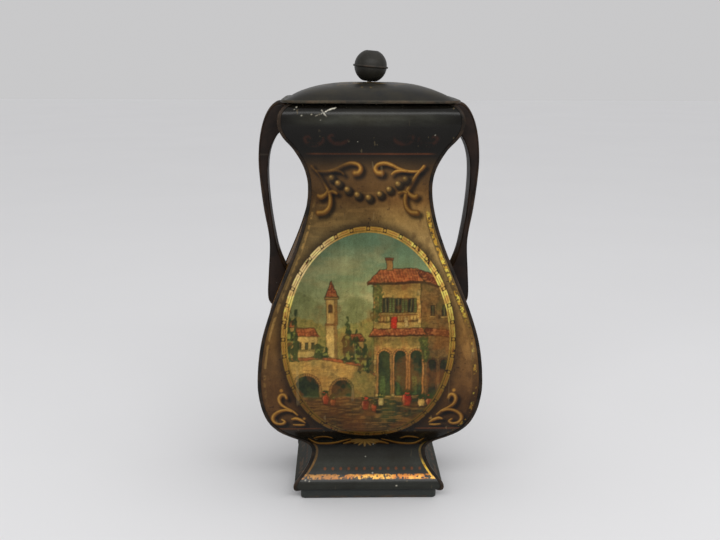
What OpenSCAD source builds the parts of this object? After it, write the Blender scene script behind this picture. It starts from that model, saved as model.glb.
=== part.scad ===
// Vase-shaped rectangular tin: four singly curved sheets joined at folded corner seams,
// a stepped foot, two hollow side handles, and a lift-off domed lid with a ball knob.

/* [Body] */
// Overall width scale of the front outline
width_scale = 1; // [0.9:0.05:1.1]
// Half depth gained for each millimetre of half width
depth_rate = 0.7; // [0.6:0.02:0.74]
// Half depth at zero half width
depth_base = 4.2; // [3:0.2:6]
// Thickness of the tinplate
sheet_t = 0.4; // [0.3:0.05:0.5]
// How far the folded corner lips stand proud
lip_t = 0.5; // [0.3:0.05:0.7]
// How far the folded corner lips lap over the neighbouring sheet
lip_lap = 1.6; // [1:0.1:2.4]

/* [Foot] */
// Half width of the foot
foot_half_w = 44.2; // [43:0.2:44.2]
// Corner radius of the foot
foot_corner_r = 3; // [2:0.5:5]
// Height of the foot's wall, which ends inside the rolled rim
foot_h = 8.5; // [7.5:0.5:9]
// Width of the ring that the tin stands on
foot_ring_w = 7; // [5:0.5:10]
// How far the bottom is recessed above the ring
foot_recess = 1.4; // [0.8:0.2:2]

/* [Mouth] */
// Half width of the mouth, inside the collar
mouth_half_w = 44.6; // [44:0.1:45]
// Corner radius of the mouth, inside the collar
mouth_r = 5; // [4.5:0.5:6]
// Depth of the mouth collar
mouth_depth = 10; // [6:1:12]
// Width of the collar's flange
mouth_flange_w = 4.4; // [4:0.1:4.8]

/* [Lid] */
// Half width of the lid at the middle of its curled rim
lid_half_w = 53.4; // [53.2:0.2:55.4]
// Radius of the curled rim
curl_r = 0.9; // [0.8:0.05:1]
// Half width of the foot of the dome
dome_half_w = 51.6; // [51:0.2:52]
// Height of the dome above the flange
dome_h = 10.2; // [8:0.2:12]
// Sideways gap between the lid's collar and the mouth
lid_gap = 0.4; // [0.3:0.05:0.6]
// Height of the lid's collar below the flange
lid_collar_h = 8; // [6:0.5:9]

/* [Knob] */
// Radius of the ball knob
knob_r = 10.2; // [9:0.1:10.4]
// Radius of the crimped lip round the ball
knob_lip_r = 11; // [10.9:0.1:11.5]
// Radius of the ball's base
knob_base_r = 4.2; // [4:0.1:5.6]
// Sideways tilt of the knob
knob_tilt = 4.8; // [0:0.2:5]

/* [Handles] */
// Depth of one pressed half of a handle
handle_half_d = 9; // [7:0.5:11]
// Chamfer round a handle's face
handle_chamfer = 1.2; // [0.8:0.1:1.4]

/* [Hidden] */
$fn = 48;

// Stations of the front outline, from the rolled rim to the mouth: [half width, height]
front_stations = [
    [44.6, 6.6], [47.4, 7.1], [48.4, 9.2], [47.4, 11.8], [43.4, 16.2], [39.4, 21.7], [36.6, 28.5],
    [36.9, 34], [41.2, 39.2], [50, 45.3], [57.6, 51.5], [63.8, 60.2], [67.5, 72], [68.8, 87],
    [66.7, 108], [61.4, 127.3], [53.6, 146.8], [45.8, 166], [40.2, 183.8], [37.6, 201],
    [39.4, 214.3], [45.5, 226.6], [52.4, 235.2], [55, 241.6], [54.6, 247.6], [51.8, 251.8],
    [46.8, 254.5]];
// Outer and inner edge of the right handle, from the shoulder down: [distance from the axis, height]
handle_outer = [
    [48, 249.5], [52.6, 253.4], [57.4, 254.4], [62, 250.8], [65.9, 243.6], [68.6, 233], [69.8, 219],
    [69.1, 205], [67, 187], [64.2, 171], [63.6, 161], [64.6, 145], [65.3, 130.5], [63.6, 124.6],
    [58, 121.5]];
handle_inner = [
    [48, 241], [54.6, 236.6], [59.6, 230.6], [63, 221.5], [64.1, 209], [63.1, 191], [60.4, 171],
    [56.8, 155.4], [48, 136]];
curve_steps = 3;
wide = 200;
eps = 0.01;

// A smooth curve through the stations (Catmull-Rom)
function spline_point(p, i, u) =
    let (last = len(p) - 1,
         a = p[max(i - 1, 0)], b = p[i], c = p[min(i + 1, last)], d = p[min(i + 2, last)])
    0.5 * (2 * b + (c - a) * u + (2 * a - 5 * b + 4 * c - d) * u * u
        + (3 * b - a - 3 * c + d) * u * u * u);
function spline(p, steps) = concat(
    [for (i = [0 : len(p) - 2], k = [0 : steps - 1]) spline_point(p, i, k / steps)],
    [p[len(p) - 1]]);
// Direction to the right of travel at point i of a curve, which is outwards on a rising right edge
function outward(c, i) =
    let (t = c[min(i + 1, len(c) - 1)] - c[max(i - 1, 0)])
    [t[1], -t[0]] / norm(t);
function offset_curve(c, by) = [for (i = [0 : len(c) - 1]) c[i] + outward(c, i) * by];
function reversed(c) = [for (i = [len(c) - 1 : -1 : 0]) c[i]];
function mirrored(c) = [for (p = c) [-p[0], p[1]]];
function half_depth(w) = depth_rate * w + depth_base;

width_curve = [for (p = spline(front_stations, curve_steps)) [p[0] * width_scale, p[1]]];
depth_curve = [for (p = width_curve) [half_depth(p[0]), p[1]]];
shoulder_top = front_stations[len(front_stations) - 1][1];
foot_half_d = half_depth(foot_half_w);
mouth_half_d = half_depth(mouth_half_w);
mouth_top = shoulder_top + sheet_t;
lid_rest_gap = 0.2;
collar_flange_z = mouth_top + lid_rest_gap;
cover_z = collar_flange_z + sheet_t;
flange_top = cover_z + sheet_t;
dome_top = flange_top + dome_h;
lid_collar_half_w = mouth_half_w - lid_gap - sheet_t;

// Outline of a sheet between two offsets of a curve, on the right side
module sheet_section(curve, inner_by, outer_by) {
    polygon(concat(offset_curve(curve, outer_by), reversed(offset_curve(curve, inner_by))));
}

// Whole outline, both sides, at one offset of a curve
module full_section(curve, by) {
    c = offset_curve(curve, by);
    polygon(concat(c, reversed(mirrored(c))));
}

// Stands a section drawn as [x, z] up and runs it along Y
module along_y(length = wide) {
    rotate([90, 0, 0]) linear_extrude(length, center = true) children();
}

// Stands a section drawn as [y, z] up and runs it along X
module along_x(length = wide) {
    rotate([90, 0, 90]) linear_extrude(length, center = true) children();
}

// Sweeps a closed section, [distance outwards, height], round a rectangle with round corners
module rounded_frame(half_w, half_d, r, section) {
    for (side = [0 : 3]) {
        across = side % 2 == 0 ? half_w : half_d;
        run = side % 2 == 0 ? half_d : half_w;
        rotate([0, 0, 90 * side]) {
            translate([across - r, 0, 0]) rotate([90, 0, 0])
                linear_extrude(2 * (run - r), center = true) translate([r, 0]) polygon(section);
            translate([across - r, run - r, 0])
                rotate_extrude(angle = 90) translate([r, 0]) polygon(section);
        }
    }
}

module rounded_plate(half_w, half_d, r, t) {
    linear_extrude(t) union() {
        square([2 * half_w, 2 * (half_d - r)], center = true);
        square([2 * (half_w - r), 2 * half_d], center = true);
        for (x = [-1, 1], y = [-1, 1])
            translate([x * (half_w - r), y * (half_d - r)]) circle(r);
    }
}

// One of the two wide printed sheets, on the -Y side
module wide_sheet() {
    intersection() {
        mirror([0, 1, 0]) along_x() sheet_section(depth_curve, -sheet_t, 0);
        along_y() full_section(width_curve, 0);
    }
}

// One of the two narrow sheets, on the +X side, with the lips folded round both wide sheets
module narrow_sheet() {
    intersection() {
        along_y() sheet_section(width_curve, -sheet_t, 0);
        along_x() full_section(depth_curve, -sheet_t);
    }
    for (side = [0, 1]) mirror([0, side, 0]) {
        intersection() {
            along_y() sheet_section(width_curve, 0, lip_t);
            along_x() sheet_section(depth_curve, -lip_lap, lip_t);
        }
        intersection() {
            along_y() sheet_section(width_curve, -lip_lap, lip_t);
            along_x() sheet_section(depth_curve, 0, lip_t);
        }
    }
}

module front_panel() { color([0.55, 0.42, 0.24]) wide_sheet(); }
module back_panel() { color([0.55, 0.42, 0.24]) mirror([0, 1, 0]) wide_sheet(); }
module right_panel() { color([0.35, 0.28, 0.2]) narrow_sheet(); }
module left_panel() { color([0.35, 0.28, 0.2]) mirror([1, 0, 0]) narrow_sheet(); }

module mouth_collar() {
    color([0.2, 0.2, 0.19])
        rounded_frame(mouth_half_w, mouth_half_d, mouth_r, [
            [0, mouth_top - mouth_depth], [sheet_t, mouth_top - mouth_depth],
            [sheet_t, shoulder_top], [mouth_flange_w, shoulder_top],
            [mouth_flange_w, mouth_top], [0, mouth_top]]);
}

// Tray wall of a rounded rectangle, open top and bottom
module rounded_tube(half_w, half_d, r, t, h) {
    difference() {
        rounded_plate(half_w, half_d, r, h);
        translate([0, 0, -eps]) rounded_plate(half_w - t, half_d - t, max(r - t, 1), h + 2 * eps);
    }
}

// Foot with a rounded lower edge, a ring to stand on, and a recessed bottom
module base_pan() {
    bend = 1.2;
    step_w = foot_half_w - foot_ring_w;
    step_d = foot_half_d - foot_ring_w;
    lower_edge = [for (a = [-90 : 15 : 0]) [(cos(a) - 1) * bend, (sin(a) + 1) * bend]];
    inner_edge = [for (a = [0 : -15 : -90])
        [cos(a) * (bend - sheet_t) - bend, sin(a) * (bend - sheet_t) + bend]];
    color([0.2, 0.2, 0.19]) {
        rounded_frame(foot_half_w, foot_half_d, foot_corner_r,
            concat(lower_edge, [[0, foot_h], [-sheet_t, foot_h]], inner_edge));
        rounded_tube(foot_half_w - bend, foot_half_d - bend, foot_corner_r - bend,
            foot_ring_w - bend, sheet_t);
        rounded_tube(step_w + sheet_t, step_d + sheet_t, foot_corner_r, sheet_t,
            foot_recess + sheet_t);
        translate([0, 0, foot_recess])
            rounded_plate(step_w, step_d, foot_corner_r - sheet_t, sheet_t);
    }
}

// Solid outline of the right handle, pulled in by a margin and kept off the body
module handle_outline(margin) {
    difference() {
        polygon(concat(offset_curve(reversed(spline(handle_outer, curve_steps)), -margin),
                       reversed(offset_curve(reversed(spline(handle_inner, curve_steps)), margin))));
        full_section(width_curve, 0);
    }
}

// Front half shell of the right handle, with a chamfered face and an open back
module handle_half() {
    face = handle_chamfer / 2;
    difference() {
        union() {
            translate([0, face - handle_half_d / 2, 0])
                along_y(handle_half_d - handle_chamfer) handle_outline(0);
            translate([0, -handle_half_d / 2, 0]) along_y(handle_half_d) handle_outline(face);
        }
        translate([0, face + sheet_t - handle_half_d / 2, 0])
            along_y(handle_half_d - handle_chamfer) handle_outline(face + sheet_t);
    }
}

module right_handle_front() { color([0.17, 0.13, 0.11]) handle_half(); }
module right_handle_back() { color([0.17, 0.13, 0.11]) mirror([0, 1, 0]) handle_half(); }
module left_handle_front() { color([0.17, 0.13, 0.11]) mirror([1, 0, 0]) handle_half(); }
module left_handle_back() {
    color([0.17, 0.13, 0.11]) mirror([1, 0, 0]) mirror([0, 1, 0]) handle_half();
}

// Plan of the lid at one half width: round at the middle, squarer towards the rim
plan_points = 48;
function plan_exponent(a) = 2 + 8 * pow(a / lid_half_w, 2);
function plan_half_d(a) = a - (lid_half_w - half_depth(lid_half_w)) * pow(a / lid_half_w, 1.5);
function signed_power(v, e) = sign(v) * pow(abs(v), e);
function plan_ring(a, z) = [for (k = [0 : plan_points - 1])
    let (t = (k + 0.5) * 360 / plan_points, e = 2 / plan_exponent(a))
    [a * signed_power(cos(t), e), plan_half_d(a) * signed_power(sin(t), e), z]];
function dome_z(a) = flange_top + dome_h * (1 - pow(a / dome_half_w, 3));

// Domed cover: rings run from the rivet hole out over the dome, round the curl and back inside
module lid_cover() {
    hole_r = 2;
    dome_stations = [hole_r, 8, 16, 24, 31, 37, 42, 46, 49.4];
    curl = [for (a = [120 : -40 : -160]) [lid_half_w + curl_r * cos(a), cover_z + curl_r * sin(a)]];
    profile = concat(
        [for (a = dome_stations) [a, dome_z(a)]],
        [[dome_half_w, flange_top]],
        curl,
        [[lid_half_w - curl_r, cover_z], [dome_half_w - sheet_t / 2, cover_z]],
        [for (a = reversed(dome_stations)) [a, dome_z(a) - sheet_t * 1.1]]);
    count = len(profile);
    points = [for (p = profile) each plan_ring(p[0], p[1])];
    faces = [for (i = [0 : count - 1], k = [0 : plan_points - 1])
        let (j = (i + 1) % count, m = (k + 1) % plan_points)
        each [[i * plan_points + k, j * plan_points + k, j * plan_points + m],
              [i * plan_points + k, j * plan_points + m, i * plan_points + m]]];
    color([0.2, 0.2, 0.18]) polyhedron(points, faces);
}

// Plug ring with a flange that reaches out to the curled rim
module lid_collar() {
    half_d = mouth_half_d - lid_gap - sheet_t;
    edge = curl_r + 0.4;
    flange_corner_r = 10;
    color([0.3, 0.29, 0.26]) {
        rounded_frame(lid_collar_half_w, half_d, mouth_r, [
            [0, cover_z - lid_collar_h], [sheet_t, cover_z - lid_collar_h],
            [sheet_t, cover_z], [0, cover_z]]);
        translate([0, 0, collar_flange_z]) difference() {
            rounded_plate(lid_half_w - edge, half_depth(lid_half_w) - edge, flange_corner_r, sheet_t);
            translate([0, 0, -eps])
                rounded_plate(lid_collar_half_w, half_d, mouth_r, sheet_t + 2 * eps);
        }
    }
}

// Places a knob piece on the dome with the knob's tilt
module on_dome() {
    seat = 0.5;
    translate([0, 0, dome_top + seat]) rotate([0, knob_tilt, 0]) children();
}
ball_z = sqrt(pow(knob_r, 2) - pow(knob_base_r, 2));
crimp_z = ball_z - 2 * sheet_t;

module knob_upper() {
    flat_r = 3.7;
    outer = [for (a = [0 : 6 : 66]) [knob_r * cos(a), ball_z + knob_r * sin(a)]];
    inner_r = knob_r - sheet_t;
    inner = [for (a = [66 : -6 : 0]) [inner_r * cos(a), ball_z + inner_r * sin(a)]];
    crown = ball_z + sqrt(pow(knob_r, 2) - pow(flat_r, 2));
    color([0.2, 0.19, 0.17]) on_dome() rotate_extrude()
        polygon(concat([[knob_lip_r - sheet_t, crimp_z + sheet_t], [knob_lip_r - sheet_t, ball_z]],
            outer, [[flat_r, crown], [0, crown], [0, crown - sheet_t], [flat_r - 0.1, crown - sheet_t]],
            inner, [[inner_r, crimp_z + sheet_t]]));
}

module knob_lower() {
    outer = [for (a = [-60 : 6 : -6]) [knob_r * cos(a), ball_z + knob_r * sin(a)]];
    inner_r = knob_r - sheet_t;
    inner = [for (a = [-6 : -6 : -60]) [inner_r * cos(a), ball_z + inner_r * sin(a)]];
    color([0.17, 0.16, 0.15]) on_dome() rotate_extrude()
        polygon(concat([[1.6, 0], [knob_base_r, 0]], outer,
            [[knob_r, crimp_z], [knob_lip_r, crimp_z], [knob_lip_r, ball_z + sheet_t],
             [knob_lip_r - sheet_t, ball_z + sheet_t], [knob_lip_r - sheet_t, crimp_z + sheet_t],
             [inner_r, crimp_z + sheet_t]],
            inner, [[knob_base_r - sheet_t, sheet_t], [1.6, sheet_t]]));
}

rivet_r = 1.4;
washer_t = 0.6;

module knob_rivet() {
    head_r = 3;
    head_h = 1;
    tail_r = 2.4;
    tail_h = 0.8;
    tail_z = -0.5 - sheet_t * 1.1 - washer_t - 0.3;
    color([0.5, 0.47, 0.42]) on_dome() {
        translate([0, 0, sheet_t]) cylinder(h = head_h, r = head_r);
        translate([0, 0, tail_z]) cylinder(h = sheet_t - tail_z + head_h / 2, r = rivet_r);
        translate([0, 0, tail_z - tail_h]) cylinder(h = tail_h, r = tail_r);
    }
}

module knob_washer() {
    washer_r = 5;
    hole_r = 1.8;
    color([0.5, 0.47, 0.42])
        translate([0, 0, dome_z(washer_r) - sheet_t * 1.1 - washer_t - 0.02]) difference() {
            cylinder(h = washer_t, r = washer_r);
            translate([0, 0, -eps]) cylinder(h = washer_t + 2 * eps, r = hole_r);
        }
}

front_panel();
back_panel();
left_panel();
right_panel();
mouth_collar();
base_pan();
left_handle_front();
left_handle_back();
right_handle_front();
right_handle_back();
lid_cover();
lid_collar();
knob_upper();
knob_lower();
knob_rivet();
knob_washer();
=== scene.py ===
import math

import bmesh
import bpy
import numpy as np
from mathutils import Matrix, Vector


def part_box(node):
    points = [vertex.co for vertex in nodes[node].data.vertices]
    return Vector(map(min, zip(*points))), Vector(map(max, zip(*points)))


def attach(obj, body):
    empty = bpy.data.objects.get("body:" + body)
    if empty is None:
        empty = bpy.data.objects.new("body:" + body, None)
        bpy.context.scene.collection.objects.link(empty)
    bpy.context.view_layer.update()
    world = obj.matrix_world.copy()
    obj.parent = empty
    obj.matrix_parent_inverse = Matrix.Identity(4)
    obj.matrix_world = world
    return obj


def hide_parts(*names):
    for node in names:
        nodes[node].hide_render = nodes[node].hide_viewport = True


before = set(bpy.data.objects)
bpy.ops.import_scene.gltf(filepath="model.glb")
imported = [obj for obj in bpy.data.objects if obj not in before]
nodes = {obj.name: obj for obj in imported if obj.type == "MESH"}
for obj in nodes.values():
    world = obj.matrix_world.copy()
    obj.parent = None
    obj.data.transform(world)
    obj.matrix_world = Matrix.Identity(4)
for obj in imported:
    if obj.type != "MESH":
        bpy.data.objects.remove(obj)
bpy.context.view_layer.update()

MM = 0.001

# ---------------------------------------------------------------------------------------------
# Shape of the tin, in millimetres in the frame's axes, as in the CAD source
# ---------------------------------------------------------------------------------------------

STATIONS = [
    (44.6, 6.6), (47.4, 7.1), (48.4, 9.2), (47.4, 11.8), (43.4, 16.2), (39.4, 21.7), (36.6, 28.5),
    (36.9, 34), (41.2, 39.2), (50, 45.3), (57.6, 51.5), (63.8, 60.2), (67.5, 72), (68.8, 87),
    (66.7, 108), (61.4, 127.3), (53.6, 146.8), (45.8, 166), (40.2, 183.8), (37.6, 201),
    (39.4, 214.3), (45.5, 226.6), (52.4, 235.2), (55, 241.6), (54.6, 247.6), (51.8, 251.8),
    (46.8, 254.5)]
HANDLE_OUTER = [
    (48, 249.5), (52.6, 253.4), (57.4, 254.4), (62, 250.8), (65.9, 243.6), (68.6, 233), (69.8, 219),
    (69.1, 205), (67, 187), (64.2, 171), (63.6, 161), (64.6, 145), (65.3, 130.5), (63.6, 124.6),
    (58, 121.5)]
HANDLE_INNER = [
    (48, 241), (54.6, 236.6), (59.6, 230.6), (63, 221.5), (64.1, 209), (63.1, 191), (60.4, 171),
    (56.8, 155.4), (48, 136)]
DEPTH_RATE, DEPTH_BASE = 0.7, 4.2
SHEET_T = 0.4
LIP_T, LIP_LAP = 0.5, 1.6
HANDLE_HALF_DEPTH = (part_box("right_handle_back")[1].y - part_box("right_handle_back")[0].y) / MM
LID_HALF_W, CURL_R = 53.4, 0.9
DOME_HALF_W, DOME_H = 51.6, 10.2
KNOB_R, KNOB_LIP_R, KNOB_BASE_R, KNOB_TILT = 10.2, 11.0, 4.2, 4.8
COVER_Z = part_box("lid_collar")[1].z / MM
FLANGE_TOP = COVER_Z + SHEET_T
DOME_TOP = FLANGE_TOP + DOME_H


def half_depth(w):
    return DEPTH_RATE * w + DEPTH_BASE


def spline(points, steps):
    """Smooth curve through the points."""
    p = np.array(points, float)
    last = len(p) - 1
    out = []
    for i in range(last):
        a, b, c, d = p[max(i - 1, 0)], p[i], p[i + 1], p[min(i + 2, last)]
        for k in range(steps):
            u = k / steps
            out.append(0.5 * (2 * b + (c - a) * u + (2 * a - 5 * b + 4 * c - d) * u * u
                              + (3 * b - a - 3 * c + d) * u ** 3))
    out.append(p[last])
    return np.array(out)


def even(curve, count, soften=0.0):
    """The curve again with count points evenly spaced along it, softened over that many millimetres."""
    step = np.r_[0, np.cumsum(np.linalg.norm(np.diff(curve, axis=0), axis=1))]
    at = np.linspace(0, step[-1], count)
    out = np.stack([np.interp(at, step, curve[:, k]) for k in range(curve.shape[1])], 1)
    if soften:
        reach = max(1, int(round(3 * soften * (count - 1) / step[-1])))
        kernel = np.exp(-0.5 * (np.arange(-reach, reach + 1) / (reach / 3)) ** 2)
        kernel /= kernel.sum()
        first, last = out[0].copy(), out[-1].copy()
        padded = np.concatenate([2 * first - out[reach:0:-1], out, 2 * last - out[-2:-reach - 2:-1]])
        out = np.stack([np.convolve(padded[:, k], kernel, "valid") for k in range(out.shape[1])], 1)
        out[0], out[-1] = first, last
    return out


ROWS, WIDE_COLS, NARROW_COLS, COARSE = 661, 307, 145, 6
outline = even(spline(STATIONS, 16), ROWS, 0.9)
row_w, row_z = outline[:, 0], outline[:, 1]
row_d = half_depth(row_w)


def edge_normal(half, z):
    """Outward normal of an outline: its sideways and upward parts."""
    dh, dz = np.gradient(half), np.gradient(z)
    size = np.hypot(dh, dz)
    return dz / size, -dh / size


front_out, front_up = edge_normal(row_d, row_z)
side_out, side_up = edge_normal(row_w, row_z)

# ---------------------------------------------------------------------------------------------
# Small tools: noise, meshes, colours
# ---------------------------------------------------------------------------------------------


def polar(r, degrees):
    """Sideways and upward parts of a length at an angle."""
    return r * math.cos(math.radians(degrees)), r * math.sin(math.radians(degrees))


def lattice(ix, iy, seed):
    """A repeatable random number from 0 to 1 for each pair of whole numbers."""
    h = (ix.astype(np.int64) * 374761393 + iy.astype(np.int64) * 668265263 + seed * 974634777)
    h = (h ^ (h >> 13)) & 0xFFFFFFFF
    h = (h * 1274126177) & 0xFFFFFFFF
    return ((h ^ (h >> 16)) & 0xFFFF) / 65535.0


def noise(x, y, size, seed):
    """Smooth noise from 0 to 1 with features of about that size."""
    u, v = np.asarray(x) / size, np.asarray(y) / size
    iu, iv = np.floor(u), np.floor(v)
    fu, fv = u - iu, v - iv
    fu, fv = fu * fu * (3 - 2 * fu), fv * fv * (3 - 2 * fv)
    a, b = lattice(iu, iv, seed), lattice(iu + 1, iv, seed)
    c, d = lattice(iu, iv + 1, seed), lattice(iu + 1, iv + 1, seed)
    return (a * (1 - fu) + b * fu) * (1 - fv) + (c * (1 - fu) + d * fu) * fv


def fractal(x, y, size, seed, octaves=4):
    """Noise with finer and fainter noise added to it."""
    total, weight, share = 0, 0, 1.0
    for k in range(octaves):
        total = total + share * noise(x, y, size / 2 ** k, seed + 17 * k)
        weight += share
        share *= 0.55
    return total / weight


def smooth(start, full, v):
    """A soft step from 0 at start to 1 at full, which may be the lower of the two."""
    t = np.clip((np.asarray(v, float) - start) / (full - start), 0, 1)
    return t * t * (3 - 2 * t)


def between(v, start, full, full_end, end):
    """Rises softly from start to full and falls again from full_end to end."""
    return smooth(start, full, v) * smooth(end, full_end, v)

def ink(r, g, b):
    """Linear colour from the usual 0 to 255 numbers."""
    c = np.array([r, g, b], float) / 255
    return np.where(c <= 0.04045, c / 12.92, ((c + 0.055) / 1.055) ** 2.4)


def make_mesh(name, verts_mm, faces, materials, face_material=None):
    mesh = bpy.data.meshes.new(name)
    mesh.from_pydata((np.asarray(verts_mm, float) * MM).tolist(), [], [list(map(int, f)) for f in faces])
    for m in materials:
        mesh.materials.append(m)
    if face_material is not None:
        mesh.polygons.foreach_set("material_index", np.asarray(face_material, np.int32))
    mesh.polygons.foreach_set("use_smooth", np.full(len(mesh.polygons), True))
    mesh.validate()
    mesh.update()
    piece = bpy.data.objects.new(name, mesh)
    bpy.context.scene.collection.objects.link(piece)
    return piece


def give(piece, body, replaced):
    """Hangs the piece on its body's empty, and hides the CAD node that it stands in for."""
    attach(piece, body)
    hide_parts(replaced)


def paint(piece, name, values):
    """Stores one colour or number for each vertex."""
    values = np.asarray(values, np.float32)
    if values.ndim == 1:
        layer = piece.data.attributes.new(name, "FLOAT", "POINT")
        layer.data.foreach_set("value", values)
        return
    layer = piece.data.color_attributes.new(name, "FLOAT_COLOR", "POINT")
    rgba = np.concatenate([values, np.ones((len(values), 1), np.float32)], 1)
    layer.data.foreach_set("color", rgba.ravel())


def grid_faces(rows, cols, start=0, flip=False, wrap_rows=False, wrap_cols=False):
    """Four-sided faces between the points of a grid."""
    r = np.arange(rows if wrap_rows else rows - 1)
    c = np.arange(cols if wrap_cols else cols - 1)
    i, j = np.meshgrid(r, c, indexing="ij")
    i2, j2 = (i + 1) % rows, (j + 1) % cols
    quad = np.stack([i * cols + j, i * cols + j2, i2 * cols + j2, i2 * cols + j], -1).reshape(-1, 4)
    if flip:
        quad = quad[:, ::-1]
    return (quad + start).tolist()


def borders(rows, cols, start=0):
    """The point numbers along the four edges of a grid."""
    grid = start + np.arange(rows * cols).reshape(rows, cols)
    return {"low": grid[0], "high": grid[-1], "left": grid[:, 0], "right": grid[:, -1]}


def sheet(name, outer, normal, materials, flip):
    """A closed thin sheet: a fine outer face, a coarse inner face, and the cut edges between them.

    Also returns, for each of its points, the number of the outer point that it copies.
    """
    rows, cols = outer.shape[:2]
    rows_in, cols_in = np.arange(0, rows, COARSE), np.arange(0, cols, COARSE)
    inner = (outer - normal * SHEET_T)[np.ix_(rows_in, cols_in)]
    faces = grid_faces(rows, cols, flip=flip)
    faces_in = grid_faces(len(rows_in), len(cols_in), rows * cols, flip=not flip)
    fine, coarse = borders(rows, cols), borders(len(rows_in), len(cols_in), rows * cols)
    rim = []
    half = COARSE // 2
    for side in fine:
        turn = (side in ("high", "left")) != flip
        for k in range(len(coarse[side]) - 1):
            a, b = coarse[side][k:k + 2]
            run = fine[side][k * COARSE:(k + 1) * COARSE + 1]
            new = [(a, run[q + 1], run[q]) for q in range(half)] + [(a, b, run[half])]
            new += [(b, run[q + 1], run[q]) for q in range(half, COARSE)]
            rim += [f[::-1] if turn else f for f in new]
    verts = np.concatenate([outer.reshape(-1, 3), inner.reshape(-1, 3)])
    kinds = [0] * len(faces) + [1] * (len(faces_in) + len(rim))
    source = np.r_[np.arange(rows * cols), (rows_in[:, None] * cols + cols_in).ravel()]
    return make_mesh(name, verts, faces + faces_in + rim, materials, kinds), source


def outward(piece):
    """Makes all faces look outwards."""
    bm = bmesh.new()
    bm.from_mesh(piece.data)
    bmesh.ops.recalc_face_normals(bm, faces=bm.faces)
    bm.to_mesh(piece.data)
    bm.free()
    return piece


def closed_sweep(name, rings, material):
    """A solid through closed rings of points, capped at both ends."""
    rings = np.asarray(rings, float)
    n, m = rings.shape[:2]
    faces = grid_faces(n, m, wrap_cols=True) + [list(range(m))[::-1], list(range((n - 1) * m, n * m))]
    return outward(make_mesh(name, rings.reshape(-1, 3), faces, [material]))


# ---------------------------------------------------------------------------------------------
# The print: drawn with formulas in the sheet's own millimetres
# ---------------------------------------------------------------------------------------------


class Print:
    """Ink laid on the points of a sheet: x across, z up, with a colour and a share of gold ink."""

    def __init__(self, x, z, edge):
        self.x, self.z, self.edge = x, z, edge
        self.rgb = np.zeros((len(x), 3))
        self.gold = np.zeros(len(x))

    def lay(self, cover, colour, gold=0.0):
        cover = np.clip(cover, 0, 1)
        colour = np.asarray(colour, float)
        self.rgb += cover[:, None] * (colour - self.rgb)
        self.gold += cover * (gold - self.gold)

    def shade(self, cover, factor):
        self.tone(1 - np.clip(cover, 0, 1) * (1 - factor))

    def tone(self, factor):
        self.rgb *= factor[:, None]

    def dot(self, x, z, a, b, colour, share=1.0, gold=0.0, soft=0.5):
        self.lay(inside(self.oval(x, z, a, b), soft) * share, ink(*colour), gold)

    def near(self, points, reach):
        p = np.asarray(points, float)
        low, high = p.min(0) - reach, p.max(0) + reach
        beside = (self.x > low[0]) & (self.x < high[0])
        return np.flatnonzero(beside & (self.z > low[1]) & (self.z < high[1]))

    def stroke(self, points, widths, shift=(0, 0)):
        """Signed distance to a tapering brush stroke through the points, up to 6 mm away."""
        reach, steps = 6.0, 6
        curve = spline(points, steps) + np.array(shift)
        width = np.interp(np.linspace(0, 1, len(curve)), np.linspace(0, 1, len(widths)), widths)
        out = np.full(len(self.x), reach)
        idx = self.near(curve, reach)
        px, pz = self.x[idx], self.z[idx]
        best = np.full(len(idx), reach)
        for a, b, ra, rb in zip(curve[:-1], curve[1:], width[:-1], width[1:]):
            dx, dz = b - a
            t = np.clip(((px - a[0]) * dx + (pz - a[1]) * dz) / (dx * dx + dz * dz + 1e-9), 0, 1)
            away = np.hypot(px - a[0] - t * dx, pz - a[1] - t * dz)
            best = np.minimum(best, away - (ra + (rb - ra) * t))
        out[idx] = best
        return out

    def polygon(self, points, rough=0.0, seed=1):
        """Signed distance to a closed outline, negative inside, with a brushed edge, up to 5 mm away."""
        p = np.asarray(points, float)
        reach = 5.0
        out = np.full(len(self.x), reach)
        idx = self.near(p, reach)
        px, pz = self.x[idx], self.z[idx]
        if rough:
            px = px + (noise(px, pz, 1.7, seed) - 0.5) * 2 * rough
            pz = pz + (noise(px, pz, 1.7, seed + 5) - 0.5) * 2 * rough
        best = np.full(len(idx), reach ** 2)
        within = np.zeros(len(idx), bool)
        for a, b in zip(p, np.roll(p, -1, 0)):
            e = b - a
            t = np.clip(((px - a[0]) * e[0] + (pz - a[1]) * e[1]) / (e @ e + 1e-9), 0, 1)
            best = np.minimum(best, (px - a[0] - t * e[0]) ** 2 + (pz - a[1] - t * e[1]) ** 2)
            crosses = (a[1] > pz) != (b[1] > pz)
            at = a[0] + (pz - a[1]) / (e[1] if abs(e[1]) > 1e-9 else 1e-9) * e[0]
            within ^= crosses & (px < at)
        best = np.sqrt(best)
        out[idx] = np.where(within, -best, best)
        return out

    def oval(self, cx, cz, a, b):
        """Distance to an oval, negative inside: exact near its edge."""
        dx, dz = (self.x - cx) / a, (self.z - cz) / b
        k = np.sqrt(dx * dx + dz * dz) + 1e-9
        slope = np.hypot(dx / a, dz / b) / k + 1e-9
        return (k - 1) / slope


def inside(distance, soft=0.45):
    return smooth(soft, -soft, distance)


def ramp(z, stops):
    """Colour by height through the stops."""
    at = [s[0] for s in stops]
    colours = np.array([ink(*s[1]) for s in stops])
    return np.stack([np.interp(z, at, colours[:, k]) for k in range(3)], 1)


# Colour by height; the lighter stop at 22.5 mm is a painted highlight along the plinth.
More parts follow.
